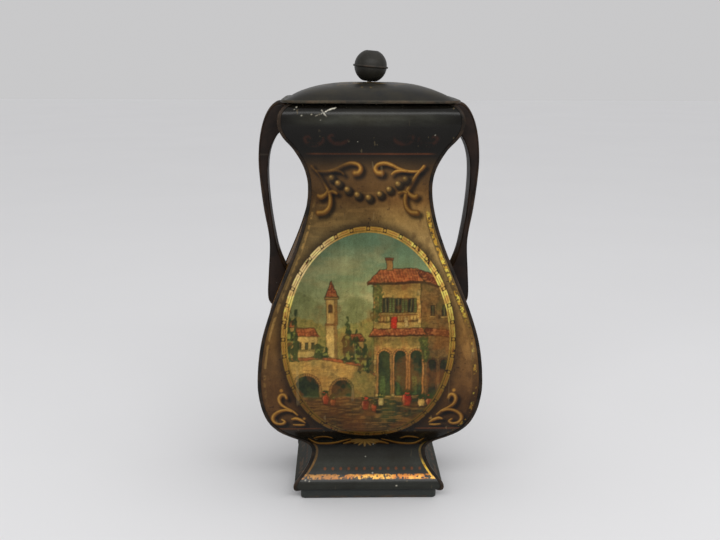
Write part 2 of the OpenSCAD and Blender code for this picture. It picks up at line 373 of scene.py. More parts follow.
GROUND_AND_SHEEN = [
    (6, (56, 60, 58)), (13, (54, 57, 55)), (19, (62, 65, 62)), (22.5, (72, 75, 71)), (27, (54, 55, 51)),
    (34, (34, 34, 29)), (38, (26, 26, 22)), (46, (24, 21, 16)), (50, (34, 27, 18)), (56, (62, 43, 24)),
    (64, (92, 63, 33)), (84, (112, 78, 41)), (112, (138, 103, 56)), (150, (154, 127, 77)),
    (172, (156, 131, 80)), (184, (140, 112, 62)), (196, (118, 86, 44)), (206, (112, 82, 42)),
    (213, (100, 74, 40)), (219, (64, 49, 30)), (223, (32, 27, 21)), (227, (22, 20, 17)), (254, (26, 25, 22))]
SIDE_GROUND = [
    (6, (54, 57, 53)), (24, (58, 60, 55)), (34, (36, 37, 32)), (44, (22, 23, 20)), (54, (44, 34, 22)),
    (84, (88, 64, 36)), (130, (110, 82, 46)), (176, (118, 90, 50)), (198, (92, 66, 36)),
    (214, (42, 33, 22)), (226, (23, 22, 18)), (254, (25, 25, 22))]
OVAL = (-1.2, 112.5, 53.7, 67.5)
AXIS_X = -1.5
PLINTH_BAND_Z = 15.2
PLINTH_DOT_Z, PLINTH_DOT_STEP, PLINTH_DOT_R = 19.7, 5.15, 0.85
FRONT_SEED = 101
GOLD = ink(226, 176, 66)
# BRIGHT_GOLD is the colour of painted glints on the gold ink.
BRIGHT_GOLD = ink(255, 236, 104)
DIM_GOLD = ink(190, 138, 60)


# Scrolls as brush strokes: the points that each runs through, and its half widths
UPPER_SCROLL = [
    ([(6.4, 212.2), (4.2, 212.6), (2.9, 215), (4.6, 217.6), (8.8, 218.5), (13.2, 217.2), (17.6, 215),
      (22, 213.6), (26, 213.2), (30, 213.6), (32.6, 216.4)],
     [1.4, 1.15, 0.85, 0.85, 0.8, 0.65, 0.55, 0.5, 0.7]),
    ([(13.2, 211.4), (15, 213), (18.4, 213.8), (22, 213.4)], [0.35, 0.75, 0.4]),
    ([(30, 213.4), (27.4, 209.9), (24.8, 205.2), (22.3, 200.5), (21.4, 195.5), (22.4, 191), (25.2, 188.3),
      (28.8, 187.9)], [0.5, 0.7, 0.8, 0.85, 0.95, 1.15, 1.25]),
    ([(23, 201.2), (24.6, 198.9), (27.2, 197.7), (28.8, 198.4)], [0.4, 0.9, 1.25, 0.7]),
    ([(22.5, 200), (20, 200.9), (17.6, 199.8)], [0.5, 0.85, 0.6])]
LOWER_SCROLL = [
    ([(48.6, 75.2), (49.6, 77.3), (52, 77.2), (53.3, 74.5), (52, 71), (48.5, 68.3), (45, 66.3),
      (42, 63.4)], [0.6, 0.8, 0.9, 0.75, 0.6, 0.5, 0.35]),
    ([(45.5, 66), (49, 67), (53, 66.2), (56.6, 63.5), (57.5, 60), (55.5, 57.2), (52, 56.6), (50, 58.3),
      (51.6, 60)], [0.35, 0.6, 0.85, 0.9, 0.75, 0.6, 0.4]),
    ([(37.5, 57.5), (40, 59.6), (43, 60.8), (45.5, 60.2)], [0.3, 0.8, 0.85, 0.3]),
    ([(38, 55.7), (41, 55.6), (44.5, 55.9)], [0.35, 0.6, 0.35])]
WAIST_SCROLL = [
    ([(8.5, 40.9), (13, 39.2), (17, 37.6), (21, 36.7), (26, 36.4), (30, 36.8), (33, 38.8), (35.5, 41.5)],
     [0.3, 0.55, 0.65, 0.6, 0.55, 0.3]),
    ([(20.5, 42.2), (24, 43.9), (28.5, 43.7), (32, 42)], [0.3, 0.6, 0.6, 0.3]),
    ([(4, 37), (7, 38.2), (10, 37.4), (13, 36.2)], [0.35, 0.9, 0.7, 0.25])]
GHOST_SCROLL = [(-6, 1.6), (-5.4, -1), (-1.5, -2.6), (3, -1.8), (5, 1.2), (3, 2.6), (1.6, 1)]
BEADS = [(-23.2, 209), (-19.3, 205.6), (-13.6, 201.8), (-7.5, 198.6), (-0.6, 196.9), (6.2, 199),
         (11.9, 201.9), (17.4, 205.2), (21.8, 208.2)]
SPECKS = [
    (-44.2, 252.2, 0.45), (-45.4, 251, 0.3), (-41.2, 247.6, 0.4), (-35.3, 248.2, 0.45), (-30, 245, 0.25),
    (-41, 13.4, 0.5), (-38.5, 12.9, 0.4), (2.5, 17.3, 0.5), (18, 10, 0.5), (-2, 27, 0.3), (3, 36, 0.3),
    (11, 46, 0.3), (-47, 222, 0.3), (38, 236, 0.3), (-8, 232, 0.25)]


def both_sides(points):
    return [points, [(2 * AXIS_X - x, z) for x, z in points]]


def lit_stroke(p, pts, w, strength, worn):
    """A gold stroke with a lighter edge above left."""
    strength = strength * (0.78 + 0.22 * smooth(0.35, 0.6, worn))
    tone = (1 - 0.42 * between(p.z, 150, 180, 208, 214) - 0.52 * smooth(50, 44, p.z))[:, None]
    for width, shift, soft, share, colour, gold in (
            (1, (0, 0), 0.45, 1, (112, 74, 28), 0.1), (0.62, (-0.2, 0.25), 0.45, 1, (158, 112, 46), 0.2),
            (0.28, (-0.35, 0.4), 0.4, 0.8, (206, 162, 80), 0.3)):
        d = p.stroke(pts, [v * width for v in w], shift)
        p.lay(inside(d, soft) * strength * share, ink(*colour) * tone, gold)


def raised(p, strokes, depth, strength, worn):
    """Painted strokes made to look raised: first all the shadows, below right, then the strokes."""
    for pts, w in strokes:
        p.shade(inside(p.stroke(pts, [v + 0.7 for v in w], (1.7, -1.7)), 1.5) * min(1, depth + 0.25), 0.15)
    for pts, w in strokes:
        lit_stroke(p, pts, w, strength, worn)


def nicks(p, seed):
    """Chips and specks where the paint has gone."""
    chip = p.stroke([(-33, 247.4), (-30, 248.4), (-27.4, 249.6), (-24.5, 251.1), (-21, 251.9)],
                    [0.0, 0.08, 0.18, 0.34, 0.06])
    branch = p.stroke([(-29.4, 250.6), (-28, 248.9), (-26.4, 246.8)], [0.05, 0.3, 0.1])
    rag = 0.6 * (noise(p.x, p.z, 0.7, seed + 88) - 0.5)
    p.lay(inside(np.minimum(chip, branch) + rag, 0.25), ink(236, 238, 232), 0.0)
    for x, z, r in SPECKS:
        p.lay(inside(p.oval(x, z, r, r * 0.8) + rag * 0.4, 0.25), ink(196, 198, 190))


def waist_fan(p):
    """A small fan of strokes at the middle of the waist."""
    for turn in range(-80, 81, 20):
        dx, dz = polar(6.0 - abs(turn) / 50, turn - 90)
        mid, tip = (-2.5 + dx, 40.8 + 0.6 * dz), (-2.5 + 2.0 * dx, 40.4 + dz)
        broad = p.stroke([(-2.5, 40.2), mid, tip], [0.5, 1.15, 0.5])
        p.lay(inside(broad, 0.4) * 0.85, ink(108, 84, 42), 0.3)
        fine = p.stroke([(-2.7, 40.2), mid, tip], [0.1, 0.35, 0.1])
        p.lay(inside(fine, 0.35) * 0.7, ink(150, 122, 68), 0.4)


def ornament(p, seed):
    """Scrolls, beads, dots and thin lines outside the picture."""
    worn = fractal(p.x, p.z, 5, seed + 3)
    dim_left = smooth(-6, -18, p.x) * smooth(194, 208, p.z)
    cloud = fractal(p.x, p.z, 9, seed + 4)
    p.shade(smooth(196, 210, p.z + 8 * (cloud - 0.5)) * smooth(8, 24, abs(p.x - 2)) * 0.6, 0.5)
    for group, bright in ((UPPER_SCROLL, 1.0), (LOWER_SCROLL, 0.8), (WAIST_SCROLL, 0.8)):
        strokes = [(q, [v * 1.5 for v in w]) for pts, w in group for q in both_sides(pts)]
        raised(p, strokes, bright, (1.0 - 0.88 * dim_left) * bright, worn)
    for x, z in BEADS:
        p.shade(inside(p.oval(x + 1.2, z - 1.4, 3.0, 3.0), 1.0), 0.11)
    for k, (x, z) in enumerate(BEADS):
        fade = 1.0 if 0 < k < len(BEADS) - 1 else 0.5
        p.dot(x, z, 2.35, 2.35, (46, 38, 24), fade, 0.1)
        p.dot(x - 0.65, z + 0.65, 1.45, 1.4, (136, 104, 52), fade, 0.3, 0.9)
        p.dot(x - 1.0, z + 1.1, 0.6, 0.5, (204, 172, 100), fade * 0.9, 0.4)
    waist_fan(p)
    for dot_x, z, r in ((51.8, 80.4, 1.0), (37.9, 60.8, 0.8)):
        for x in (dot_x, 2 * AXIS_X - dot_x):
            p.dot(x, z, r, r, (178, 128, 54), 0.8, 0.2)
    for z, reach, strength in ((52.6, 60, 0.42), (224.3, 38, 0.36)):
        line = smooth(0.75, 0.2, abs(p.z - z)) * smooth(reach + 3, reach - 6, abs(p.x))
        if z < 100:
            line = line * smooth(27, 31, abs(p.x))
        line = line * (0.5 + 0.7 * worn) * (0.7 + 0.3 * smooth(-5, 5, p.x))
        p.lay(line * strength, ink(150, 84, 44), 0.1)
    for k in range(-6, 7):
        x = k * PLINTH_DOT_STEP + 2.5
        p.dot(x, PLINTH_DOT_Z, PLINTH_DOT_R, PLINTH_DOT_R, (124, 70, 38), 0.75, 0.1, 0.4)
        if abs(k * 4.8) >= 20:
            p.dot(k * 4.8, 50, 0.6, 0.6, (120, 100, 64), 0.35, 0.1, 0.4)
    if seed == FRONT_SEED:
        nicks(p, seed)
    for side in (-1, 1):
        for k in range(2):
            x, z = side * (20 + 14.5 * k), 233.4 - 0.8 * k
            curl = p.stroke([(x + side * dx, z + dz) for dx, dz in GHOST_SCROLL],
                            [0.35, 0.9, 1.2, 1.0, 0.8, 0.6, 0.2])
            p.lay(inside(curl, 1.0) * 0.24 * smooth(0.3, 0.6, worn), ink(100, 54, 36))


def gold_edges(p, seed):
    """The worn gold lines along the corners and along the plinth, with painted glints, and painted sheen on
    the plinth line: bright on the right, dim on the left.
    """
    worn = fractal(p.x, p.z, 2.4, seed + 7)
    grit = noise(p.x, p.z, 0.8, seed + 8)
    wander = 0.5 * (fractal(p.x, p.z, 6, seed + 12) - 0.5)
    off = abs(p.edge - 3.9 + wander)
    right = smooth(0, 4, p.x)
    upper = between(p.z, 118, 132, 182, 192)
    lower = between(p.z, 46, 56, 118, 128)
    line = smooth(1.35, 0.95, off) * upper * smooth(0.26, 0.34, worn + 0.35 * (grit - 0.35))
    rest = smooth(1.1, 0.7, off) * lower * smooth(0.52, 0.6, worn + 0.25 * (grit - 0.5))
    p.shade(smooth(2.4, 1.2, off) * right * (upper + 0.6 * lower), 0.4)
    # Painted glints on the gold.
    glint = smooth(0.46, 0.62, fractal(p.x, p.z, 2.0, seed + 15))[:, None]
    fleck = smooth(0.27, 0.44, noise(p.x, p.z, 0.75, seed + 16))
    fleck = fleck * smooth(0.20, 0.34, noise(p.x, p.z, 1.6, seed + 17))
    p.lay(right * (line + 0.5 * rest) * fleck * 0.86, (GOLD + (BRIGHT_GOLD - GOLD) * glint) * 0.9, 0.9)
    left = smooth(0.9, 0.5, off) * between(p.z, 60, 110, 180, 200)
    p.lay((1 - right) * left * 0.42 * smooth(0.40, 0.55, worn), ink(196, 158, 92), 0.5)
    plinth = smooth(0.9, 0.55, abs(p.edge - 2.9 + 0.6 * wander)) * between(p.z, 13.5, 16, 34, 40)
    # Painted sheen: the plinth line is brighter on the right and low down, dim on the left.
    painted_sheen = np.where(p.x > 0, 0.12 + 0.88 * smooth(27, 21, p.z), 0.14 + 0.22 * smooth(30, 22, p.z))
    hue = np.where((p.x > 0)[:, None], GOLD + 0.5 * (BRIGHT_GOLD - GOLD) * glint, DIM_GOLD)
    p.lay(plinth * painted_sheen * smooth(0.2, 0.36, worn), hue, 0.9)
    flecks = fractal(p.x * 0.6, p.z, 1.1, seed + 9)
    ragged = abs(p.z - PLINTH_BAND_Z + 0.3 * wander) + 0.9 * (0.5 - flecks)
    band = smooth(1.5, 1.1, ragged) * smooth(1.4, 2.4, p.edge)
    large = fractal(p.x, p.z, 7, seed + 10)
    chips = smooth(0.39, 0.46, flecks + 0.35 * (large - 0.44) + 0.05 * smooth(-30, 10, p.x))
    orange, yellow, brown = ink(196, 122, 38), ink(232, 180, 80), ink(142, 100, 52)
    hue = orange + (yellow - orange) * smooth(0.40, 0.60, large)[:, None]
    hue = hue + (brown - hue) * (0.8 * smooth(5, -32, p.x))[:, None]
    speck = smooth(0.18, 0.30, noise(p.x, p.z, 0.8, seed + 18))
    p.lay(band * chips * speck, hue, 0.9)


def border(p, seed):
    """The picture's frame: a soft shadow, then bars and dots, then a thin inner line, with painted sheen and
    glints on the gold.
    """
    cx, cz, a, b = OVAL
    d = p.oval(cx, cz, a, b)
    p.shade(smooth(6.0, 0.0, d) * smooth(-1.5, 0.2, d), 0.30)
    turn = np.arctan2((p.z - cz) / b, (p.x - cx) / a)
    table = np.linspace(-math.pi, math.pi, 721)
    length = np.r_[0, np.cumsum(np.hypot(np.diff(a * np.cos(table)), np.diff(b * np.sin(table))))]
    count = 36
    phase = (np.interp(turn, table, length) / length[-1] * count) % 1.0
    pitch = length[-1] / count
    along = abs(phase - 0.5) * pitch
    # Painted sheen: the gold is brighter higher up and at the sides, dimmer low down.
    sides = 0.42 + 0.58 * smooth(-10, -35, p.x) + 0.58 * smooth(5, 35, p.x)
    painted_sheen = 0.10 + 0.90 * smooth(70, 150, p.z) * sides
    worn = fractal(p.x, p.z, 3.0, seed + 11)
    painted_sheen = np.clip(painted_sheen * (0.65 + 0.6 * worn), 0, 1)
    ring = inside(abs(d + 2.1) - 2.15, 0.25)
    p.lay(ring, ink(40, 26, 15))
    bar = np.maximum(along - 4.1, abs(d + 1.5) - 1.15)
    dot = np.hypot(pitch / 2 - along, d + 1.5) - 0.82
    # Painted glints, and a pale painted highlight strongest at the upper left.
    glint = smooth(0.50, 0.64, fractal(p.x, p.z, 2.6, seed + 15)) * smooth(0.45, 0.8, painted_sheen)
    rgb = (GOLD + (BRIGHT_GOLD - GOLD) * glint[:, None]) * (0.13 + 0.77 * painted_sheen)[:, None]
    pale = (0.12 + 0.4 * smooth(-12, -34, p.x) * smooth(130, 150, p.z)) * smooth(0.3, 0.8, painted_sheen)
    rgb = rgb + (ink(232, 224, 184) * painted_sheen[:, None] - rgb) * pale[:, None]
    p.lay(inside(bar, 0.28) * smooth(0.2, 0.3, worn), rgb, 0.9)
    p.lay(inside(np.maximum(along - 3.1, abs(d + 1.5) - 0.22), 0.25) * 0.8, ink(120, 52, 28), 0.2)
    p.lay(inside(dot, 0.28), rgb, 0.9)
    p.lay(inside(abs(d + 3.5) - 0.5, 0.22) * smooth(0.16, 0.28, worn), rgb * 0.95, 0.9)
    return d


def grain(p, amount, seed):
    """The fine unevenness of old ink."""
    p.tone(1 + amount * (noise(p.x, p.z, 0.9, seed) + noise(p.x, p.z, 2.3, seed + 1) - 1))


class Scene(Print):
    """A print painted with walls, openings and leaves, each with brush marks."""

    def __init__(self, p, flip, seed):
        x, z = p.x * flip, p.z
        shake = [0.9 * (fractal(x, z, 5, seed + k, 3) - 0.5) for k in (35, 36)]
        super().__init__(x + shake[0], z + shake[1], p.edge)
        self.seed = seed
        self.streak = fractal(self.x * 2.4, self.z * 0.5, 3, seed + 31)
        self.patch = fractal(self.x, self.z, 7, seed + 32)
        self.dab = noise(self.x + 2 * self.patch, self.z * 1.6, 1.3, seed + 33)
        self.dark = ink(46, 32, 20)

    def wall(self, points, colour, rough=0.3, light=0.18, line=0.0):
        d = self.polygon(points, rough, self.seed + len(points))
        patchy = (self.patch - 0.5)[:, None]
        mix = (self.streak - 0.5) + (self.patch - 0.5) + 0.9 * (self.dab - 0.5)
        tone = (1 + light * mix * 1.9)[:, None] * (1 + light * patchy * np.array([0.9, -0.1, -1.6]))
        self.lay(inside(d, 0.3), ink(*colour) * np.clip(tone, 0.1, 3))
        if line:
            self.lay(smooth(0.55, 0.15, abs(d)) * line, self.dark)
        return d

    def block(self, x0, z0, x1, z1, colour, rough=0.3, light=0.18, line=0.0):
        return self.wall([(x0, z0), (x0, z1), (x1, z1), (x1, z0)], colour, rough, light, line)

    def arch(self, cx, low, half, high, colour, rim=None, rim_wide=1.2, line=0.5):
        def opening(w):
            top = [(cx + x, high + z) for x, z in (polar(w, t) for t in range(0, 181, 20))]
            return [(cx + w, low)] + top + [(cx - w, low)]
        if rim:
            self.wall(opening(half + rim_wide), rim, 0.2, 0.25, line)
            d = self.oval(cx, high, half + rim_wide, half + rim_wide)
            turn = np.arctan2(self.z - high, self.x - cx)
            joint = smooth(0.30, 0.42, abs((turn * half * 0.8) % 1.0 - 0.5))
            near = smooth(0.3, -0.1, d) * smooth(high - 0.3, high + 0.3, self.z)
            self.lay(joint * near * (self.oval(cx, high, half, half) > 0) * 0.6, self.dark)
        d = self.wall(opening(half), colour, 0.2, 0.3, line)
        gloom = smooth(low + 0.2 * (high - low), high + half, self.z)
        self.lay(inside(d, 0.3) * gloom * 0.55, ink(22, 26, 18))

    def window(self, cx, low, half, high, shutters=None):
        self.block(cx - half, low, cx + half, high, (50, 52, 38), 0.15, line=0.6)
        self.block(cx - 0.1 * half, low + 0.4, cx + 0.3 * half, high - 0.4, (104, 96, 62), 0.1)
        if shutters:
            for x in (cx - half - 1.1, cx + half + 1.1):
                self.block(x - 0.9, low, x + 0.9, high, shutters, 0.15, line=0.5)
                shutter = (abs(self.x - x) < 0.8) * (self.z > low) * (self.z < high)
                self.lay(smooth(0.25, 0.4, abs(self.z % 1.1 - 0.55)) * shutter * 0.45, self.dark)
        self.block(cx - half - 1, low - 0.9, cx + half + 1, low - 0.1, (176, 146, 88), 0.1, line=0.5)

    def roof(self, points, colour, lean=0.0):
        d = self.wall(points, colour, 0.25, 0.3, line=0.7)
        tiles = smooth(0.26, 0.44, abs((self.x + lean * self.z) % 1.7 / 1.7 - 0.5))
        rows = smooth(0.30, 0.45, abs(self.z % 1.5 / 1.5 - 0.5))
        self.lay(inside(d, 0.3) * (0.45 * tiles + 0.2 * rows), ink(70, 34, 22))
        self.lay(inside(d, 0.3) * smooth(0.55, 0.8, self.dab) * 0.35, ink(206, 138, 84))

    def tree(self, cx, low, high, half, ragged=1.8):
        leaf = noise(self.x, self.z, 1.5, self.seed + int(3 * cx) + 900)
        big = noise(self.x, self.z, 3.4, self.seed + int(3 * cx) + 950)
        wide, waist = half * 0.9, low + 0.45 * (high - low)
        shape = self.polygon([(cx - half, low), (cx - wide, waist), (cx, high), (cx + wide, waist),
                              (cx + half, low)], 0.6, self.seed)
        edge = shape + (leaf - 0.5) * ragged + (big - 0.5) * ragged
        self.lay(inside(edge, 0.5) * 0.95, ink(44, 58, 32))
        self.lay(inside(edge + 0.6, 0.5) * smooth(0.45, 0.7, leaf) * 0.8, ink(86, 104, 52))
        sunlit = smooth(0.55, 0.8, leaf + 0.12 * smooth(cx, cx - half, self.x))
        self.lay(inside(edge + 0.8, 0.5) * sunlit * 0.7, ink(146, 146, 78))

    def pot(self, cx, cz, half, high, colour):
        """A pot with a bush in it, and its shadow on the ground."""
        self.dot(cx + half * 1.1, cz - 0.3, half * 1.3, 0.9, (30, 26, 16), 0.7, soft=0.6)
        d = self.wall([(cx - half * 0.6, cz), (cx - half, cz + high * 0.6), (cx - half * 0.7, cz + high),
                       (cx + half * 0.7, cz + high), (cx + half, cz + high * 0.6), (cx + half * 0.6, cz)],
                      colour, 0.25, 0.35, 0.6)
        self.lay(inside(d, 0.3) * smooth(cx - 0.1 * half, cx + half, self.x) * 0.5, ink(56, 24, 16))
        lit = smooth(cx - 0.3 * half, cx - 0.7 * half, self.x)
        self.lay(inside(d + 0.3, 0.3) * lit * 0.4, ink(226, 170, 116))
        leaf = noise(self.x, self.z, 1.0, self.seed + 87)
        bush = self.oval(cx, cz + high + 1.2, half, 1.9) + (leaf - 0.5) * 1.6
        self.lay(inside(bush, 0.4), ink(52, 66, 32))
        flowers = (190, 70, 44) if half > 2.1 else (150, 146, 76)
        self.lay(inside(bush + 0.4, 0.3) * smooth(0.55, 0.75, leaf), ink(*flowers))


def sky_and_hills(q, seed):
    x, z = q.x, q.z
    q.rgb = ramp(z + 5 * (fractal(x, z, 22, seed + 20) - 0.5), [
        (48, (70, 56, 32)), (76, (104, 80, 44)), (100, (146, 124, 74)), (122, (178, 170, 118)),
        (136, (158, 166, 122)), (150, (134, 156, 122)), (164, (112, 142, 120)), (180, (92, 124, 108))])
    clouds = fractal(x * 0.4, z * 1.4, 12, seed + 21)
    q.lay(smooth(0.46, 0.72, clouds) * between(z, 120, 138, 156, 172) * 0.5, ink(190, 184, 140))
    hills = [(-60, 116), (-60, 133), (-52, 136), (-43, 141), (-35, 137), (-27, 131), (-19, 134), (-9, 139),
             (-1, 136), (12, 128), (12, 112)]
    q.lay(inside(q.polygon(hills, 0.6, seed), 1.2) * 0.75, ink(124, 134, 92))
    near = q.polygon([(-60, 100), (-60, 122), (-48, 126), (-36, 124), (-22, 118), (-10, 122), (4, 126),
                      (12, 122), (12, 100)], 0.9, seed + 3)
    q.lay(inside(near, 1.0) * 0.85, ink(150, 136, 74))
    q.lay(inside(near, 1.0) * smooth(0.5, 0.75, q.dab) * 0.4, ink(92, 104, 56))


def village(q):
    """Low houses and a bell tower on the left, below the hills."""
    q.wall([(-56, 96), (-56, 119), (-46, 121), (-46, 96)], (168, 138, 80), line=0.5)
    q.roof([(-58, 118.5), (-53, 124.5), (-47, 123.5), (-44.6, 120)], (156, 88, 52))
    q.block(-47, 96, -32, 115, (196, 164, 100), line=0.5)
    q.roof([(-48.4, 114.5), (-45, 119.4), (-35, 119.4), (-31, 114.5)], (164, 92, 54), 0.3)
    for cx in (-43.4, -39.2, -35.2):
        q.window(cx, 106.5, 0.9, 110.5)
    q.block(-27, 96, -20.4, 137, (192, 164, 104), line=0.55)
    q.block(-22.2, 96, -20.4, 137, (128, 104, 62), 0.2)
    q.block(-28, 136.4, -19.4, 137.8, (150, 118, 68), 0.1, line=0.6)
    q.roof([(-27.6, 138), (-23.8, 147.5), (-19.8, 138)], (150, 82, 50))
    q.arch(-24.4, 128.5, 1.2, 132.4, (60, 62, 44))
    q.block(-27.6, 121, -19.8, 122, (140, 108, 62), 0.1, line=0.4)
    q.block(-16, 96, -4, 112, (172, 140, 82), line=0.5)
    q.roof([(-17.4, 111.5), (-13.5, 116), (-6.5, 116), (-3, 111.5)], (140, 78, 46), -0.2)


def big_house(q, seed):
    """The tall house on the right: hipped roof, shuttered windows, balcony, arcade at the ground."""
    x, z = q.x, q.z
    front = [(2, 72), (2, 147), (31, 148.5), (31, 72)]
    q.wall(front, (188, 154, 88), 0.3, 0.3, line=0.6)
    q.wall([(31, 72), (31, 148.5), (50, 143), (50, 72)], (108, 84, 50), 0.3, 0.4, line=0.6)
    for k in range(1, 17, 2):
        for x0 in (2, 28.8):
            q.block(x0, 76 + 4.2 * k, x0 + 2.2, 79 + 4.2 * k, (206, 174, 110), 0.15, 0.3, line=0.4)
    stain = inside(q.polygon(front, 0.3, seed + 4), 0.4)
    q.lay(stain * smooth(0.56, 0.72, q.streak) * 0.45, ink(150, 112, 62))
    q.lay(stain * smooth(0.58, 0.7, q.patch) * 0.5, ink(168, 104, 64))
    q.lay(stain * smooth(138, 145, z) * 0.55, ink(84, 62, 34))
    q.lay(stain * between(z, 106, 113, 113, 116) * 0.6, ink(70, 52, 30))
    q.lay(stain * smooth(10, 2, x - (z - 118) * 0.35) * smooth(136, 124, z) * 0.45, ink(74, 84, 44))
    q.roof([(-2, 146), (6, 153.8), (28, 154.8), (33, 148.6), (33, 147.2)], (164, 92, 54), 0.25)
    q.roof([(28, 154.8), (45, 150), (54, 141.4), (33, 147.2)], (116, 64, 40), -0.5)
    q.wall([(-2, 144.6), (-2, 145.9), (33, 147.3), (54, 141.6), (54, 140.2), (33, 145.8)],
           (74, 50, 30), 0.15)
    q.wall([(10, 153.2), (10, 160), (14, 160), (14, 153.6)], (164, 124, 74), 0.15, line=0.6)
    q.block(9.4, 159.4, 14.6, 160.8, (120, 72, 46), 0.15, line=0.5)
    for cx in (9.3, 17, 24.7):
        q.window(cx, 128.5, 1.8, 137, (104, 112, 66))
    q.wall([(5, 122.6), (5, 123.4), (29, 124.2), (29, 123.4)], (120, 86, 48), 0.1, line=0.5)
    for x0 in range(6, 30, 2):
        q.block(x0, 123, x0 + 0.45, 126.6, (92, 62, 36), 0.05)
    q.wall([(5, 126.4), (5, 127), (29, 127.6), (29, 127)], (110, 72, 42), 0.1)
    q.wall([(12.5, 118.8), (12.5, 126.2), (16.6, 126.2), (16.2, 118.4)], (164, 46, 32), 0.25, 0.5, line=0.5)
    q.wall([(21, 120), (21, 125.8), (23.2, 125.8), (23.2, 120.4)], (196, 168, 110), 0.25, 0.4, line=0.4)
    q.roof([(-1, 114.6), (2, 118.8), (32, 119.6), (35, 115.2)], (150, 84, 50), 0.4)
    q.roof([(32, 119.6), (35, 115.2), (52, 113.6), (50, 118)], (104, 58, 36), -0.4)
    q.wall([(-1, 113.8), (-1, 114.8), (35, 115.4), (35, 114.4)], (70, 46, 28), 0.1)
    for cx in (8.6, 18.4, 28.2):
        q.arch(cx, 77, 3.5, 102, (58, 72, 44), (178, 128, 74), 1.3)
        q.block(cx - 2.6, 77, cx + 0.6, 90, (78, 98, 54), 0.3, 0.4, line=0.3)
        q.block(cx - 5.6, 76, cx - 3.4, 78, (196, 166, 104), 0.15, line=0.4)
    for cx in (38.2, 45.4):
        q.arch(cx, 77, 2.3, 98, (48, 48, 32), (108, 78, 46), 0.8)
        q.window(cx, 126.5, 1.2, 133)


def bridge(q, seed):
    """A low stone bridge on the left with the river under it."""
    x, z = q.x, q.z
    q.wall([(-58, 74), (-58, 99), (-30, 101), (-4, 96), (3, 90), (3, 74)],
           (182, 146, 82), 0.35, 0.26, line=0.5)
    courses = smooth(0.38, 0.48, abs(z % 2.6 / 2.6 - 0.5))
    joints = smooth(0.44, 0.5, abs((x + (z // 2.6) * 1.9) % 4.4 / 4.4 - 0.5))
    body = q.polygon([(-58, 74), (-58, 98), (-30, 100), (-4, 95), (3, 89), (3, 74)], 0.3, seed + 6)
    stones = inside(body, 0.4) * np.clip(courses + joints, 0, 1)
    q.lay(stones * 0.28 * smooth(0.35, 0.6, q.patch), q.dark)
    q.wall([(-58, 98.2), (-30, 100.4), (-4, 95.4), (3, 89.4), (3, 91.2), (-4, 97.4), (-30, 102.4),
            (-58, 100.2)], (158, 92, 52), 0.2, 0.3, line=0.5)
    q.arch(-39, 70, 7.4, 82.5, (42, 54, 34), (150, 116, 66), 1.7)
    q.arch(-17.5, 70, 6.0, 81, (46, 58, 36), (150, 116, 66), 1.5)
    for cx, w in ((-39, 7.0), (-17.5, 5.6)):
        water = inside(q.oval(cx, 76, w, 3.2), 0.8) * smooth(77.5, 75.5, z)
        q.lay(water * 0.8, ink(92, 104, 72))


TREES = [(-50.5, 99, 139, 2.5), (-46, 99, 130, 2.2), (-31.5, 101, 112, 3.2), (-27, 101, 108, 3),
         (-13.5, 98, 126, 3.0), (-8.5, 97, 118, 3.4), (-3, 93, 112, 3.4), (47, 76, 92, 4)]
VINES = [(4, 141, 3.4), (4.5, 134, 2.6), (3.2, 127, 2.4), (33, 110, 3.0), (34, 103, 2.6)]
POTS = [(-3, 67, 2.6, 6.6, (146, 52, 34)), (2.4, 66, 1.8, 5.0, (170, 72, 42)),
        (6.8, 70, 2.0, 5.8, (196, 178, 116)), (22.8, 70, 3.2, 7.6, (170, 44, 34)),
        (32, 69.5, 2.4, 5.0, (182, 156, 96)), (37, 70, 2.4, 5.2, (134, 66, 40)),
        (-27.5, 71, 2.4, 6.6, (160, 66, 40)), (-23, 70.4, 1.8, 4.6, (176, 96, 54))]


def greenery(q, seed):
    """Shade from the house across the bridge, then trees and climbing plants."""
    shadow = q.polygon([(-6, 98), (2, 116), (3, 76), (-20, 76)], 1.0, seed + 8)
    q.lay(inside(shadow, 1.4) * 0.55, ink(66, 82, 42))
    for tree in TREES:
        q.tree(*tree)
    leaf = noise(q.x, q.z, 1.2, seed + 77)
    for cx, cz, w in VINES:
        vine = q.oval(cx, cz, w, 4.2) + (leaf - 0.5) * 3
        q.lay(inside(vine, 0.5) * 0.8, ink(62, 76, 38))
        q.lay(inside(vine + 0.5, 0.5) * smooth(0.5, 0.8, leaf) * 0.6, ink(128, 134, 70))


def open_ground(q, seed):
    """Warm light on the left, cool shade on the right, with brush strokes."""
    x, z = q.x, q.z
    ground = smooth(76.6, 75.2, z + 1.4 * (q.patch - 0.5))
    shade = smooth(-12, 16, x + (z - 62) * 0.9 + 8 * (q.patch - 0.5))[:, None]
    q.lay(ground, ink(104, 74, 40) + (ink(60, 64, 42) - ink(104, 74, 40)) * shade)
    strokes = noise(x * 0.35, z * 1.9, 1.6, seed + 53)
    q.lay(ground * smooth(0.56, 0.8, strokes) * 0.5, ink(160, 120, 66))
    q.lay(ground * smooth(0.44, 0.2, strokes) * 0.45, ink(50, 40, 24))
    q.lay(smooth(62, 48, z) * 0.55, ink(44, 34, 18))


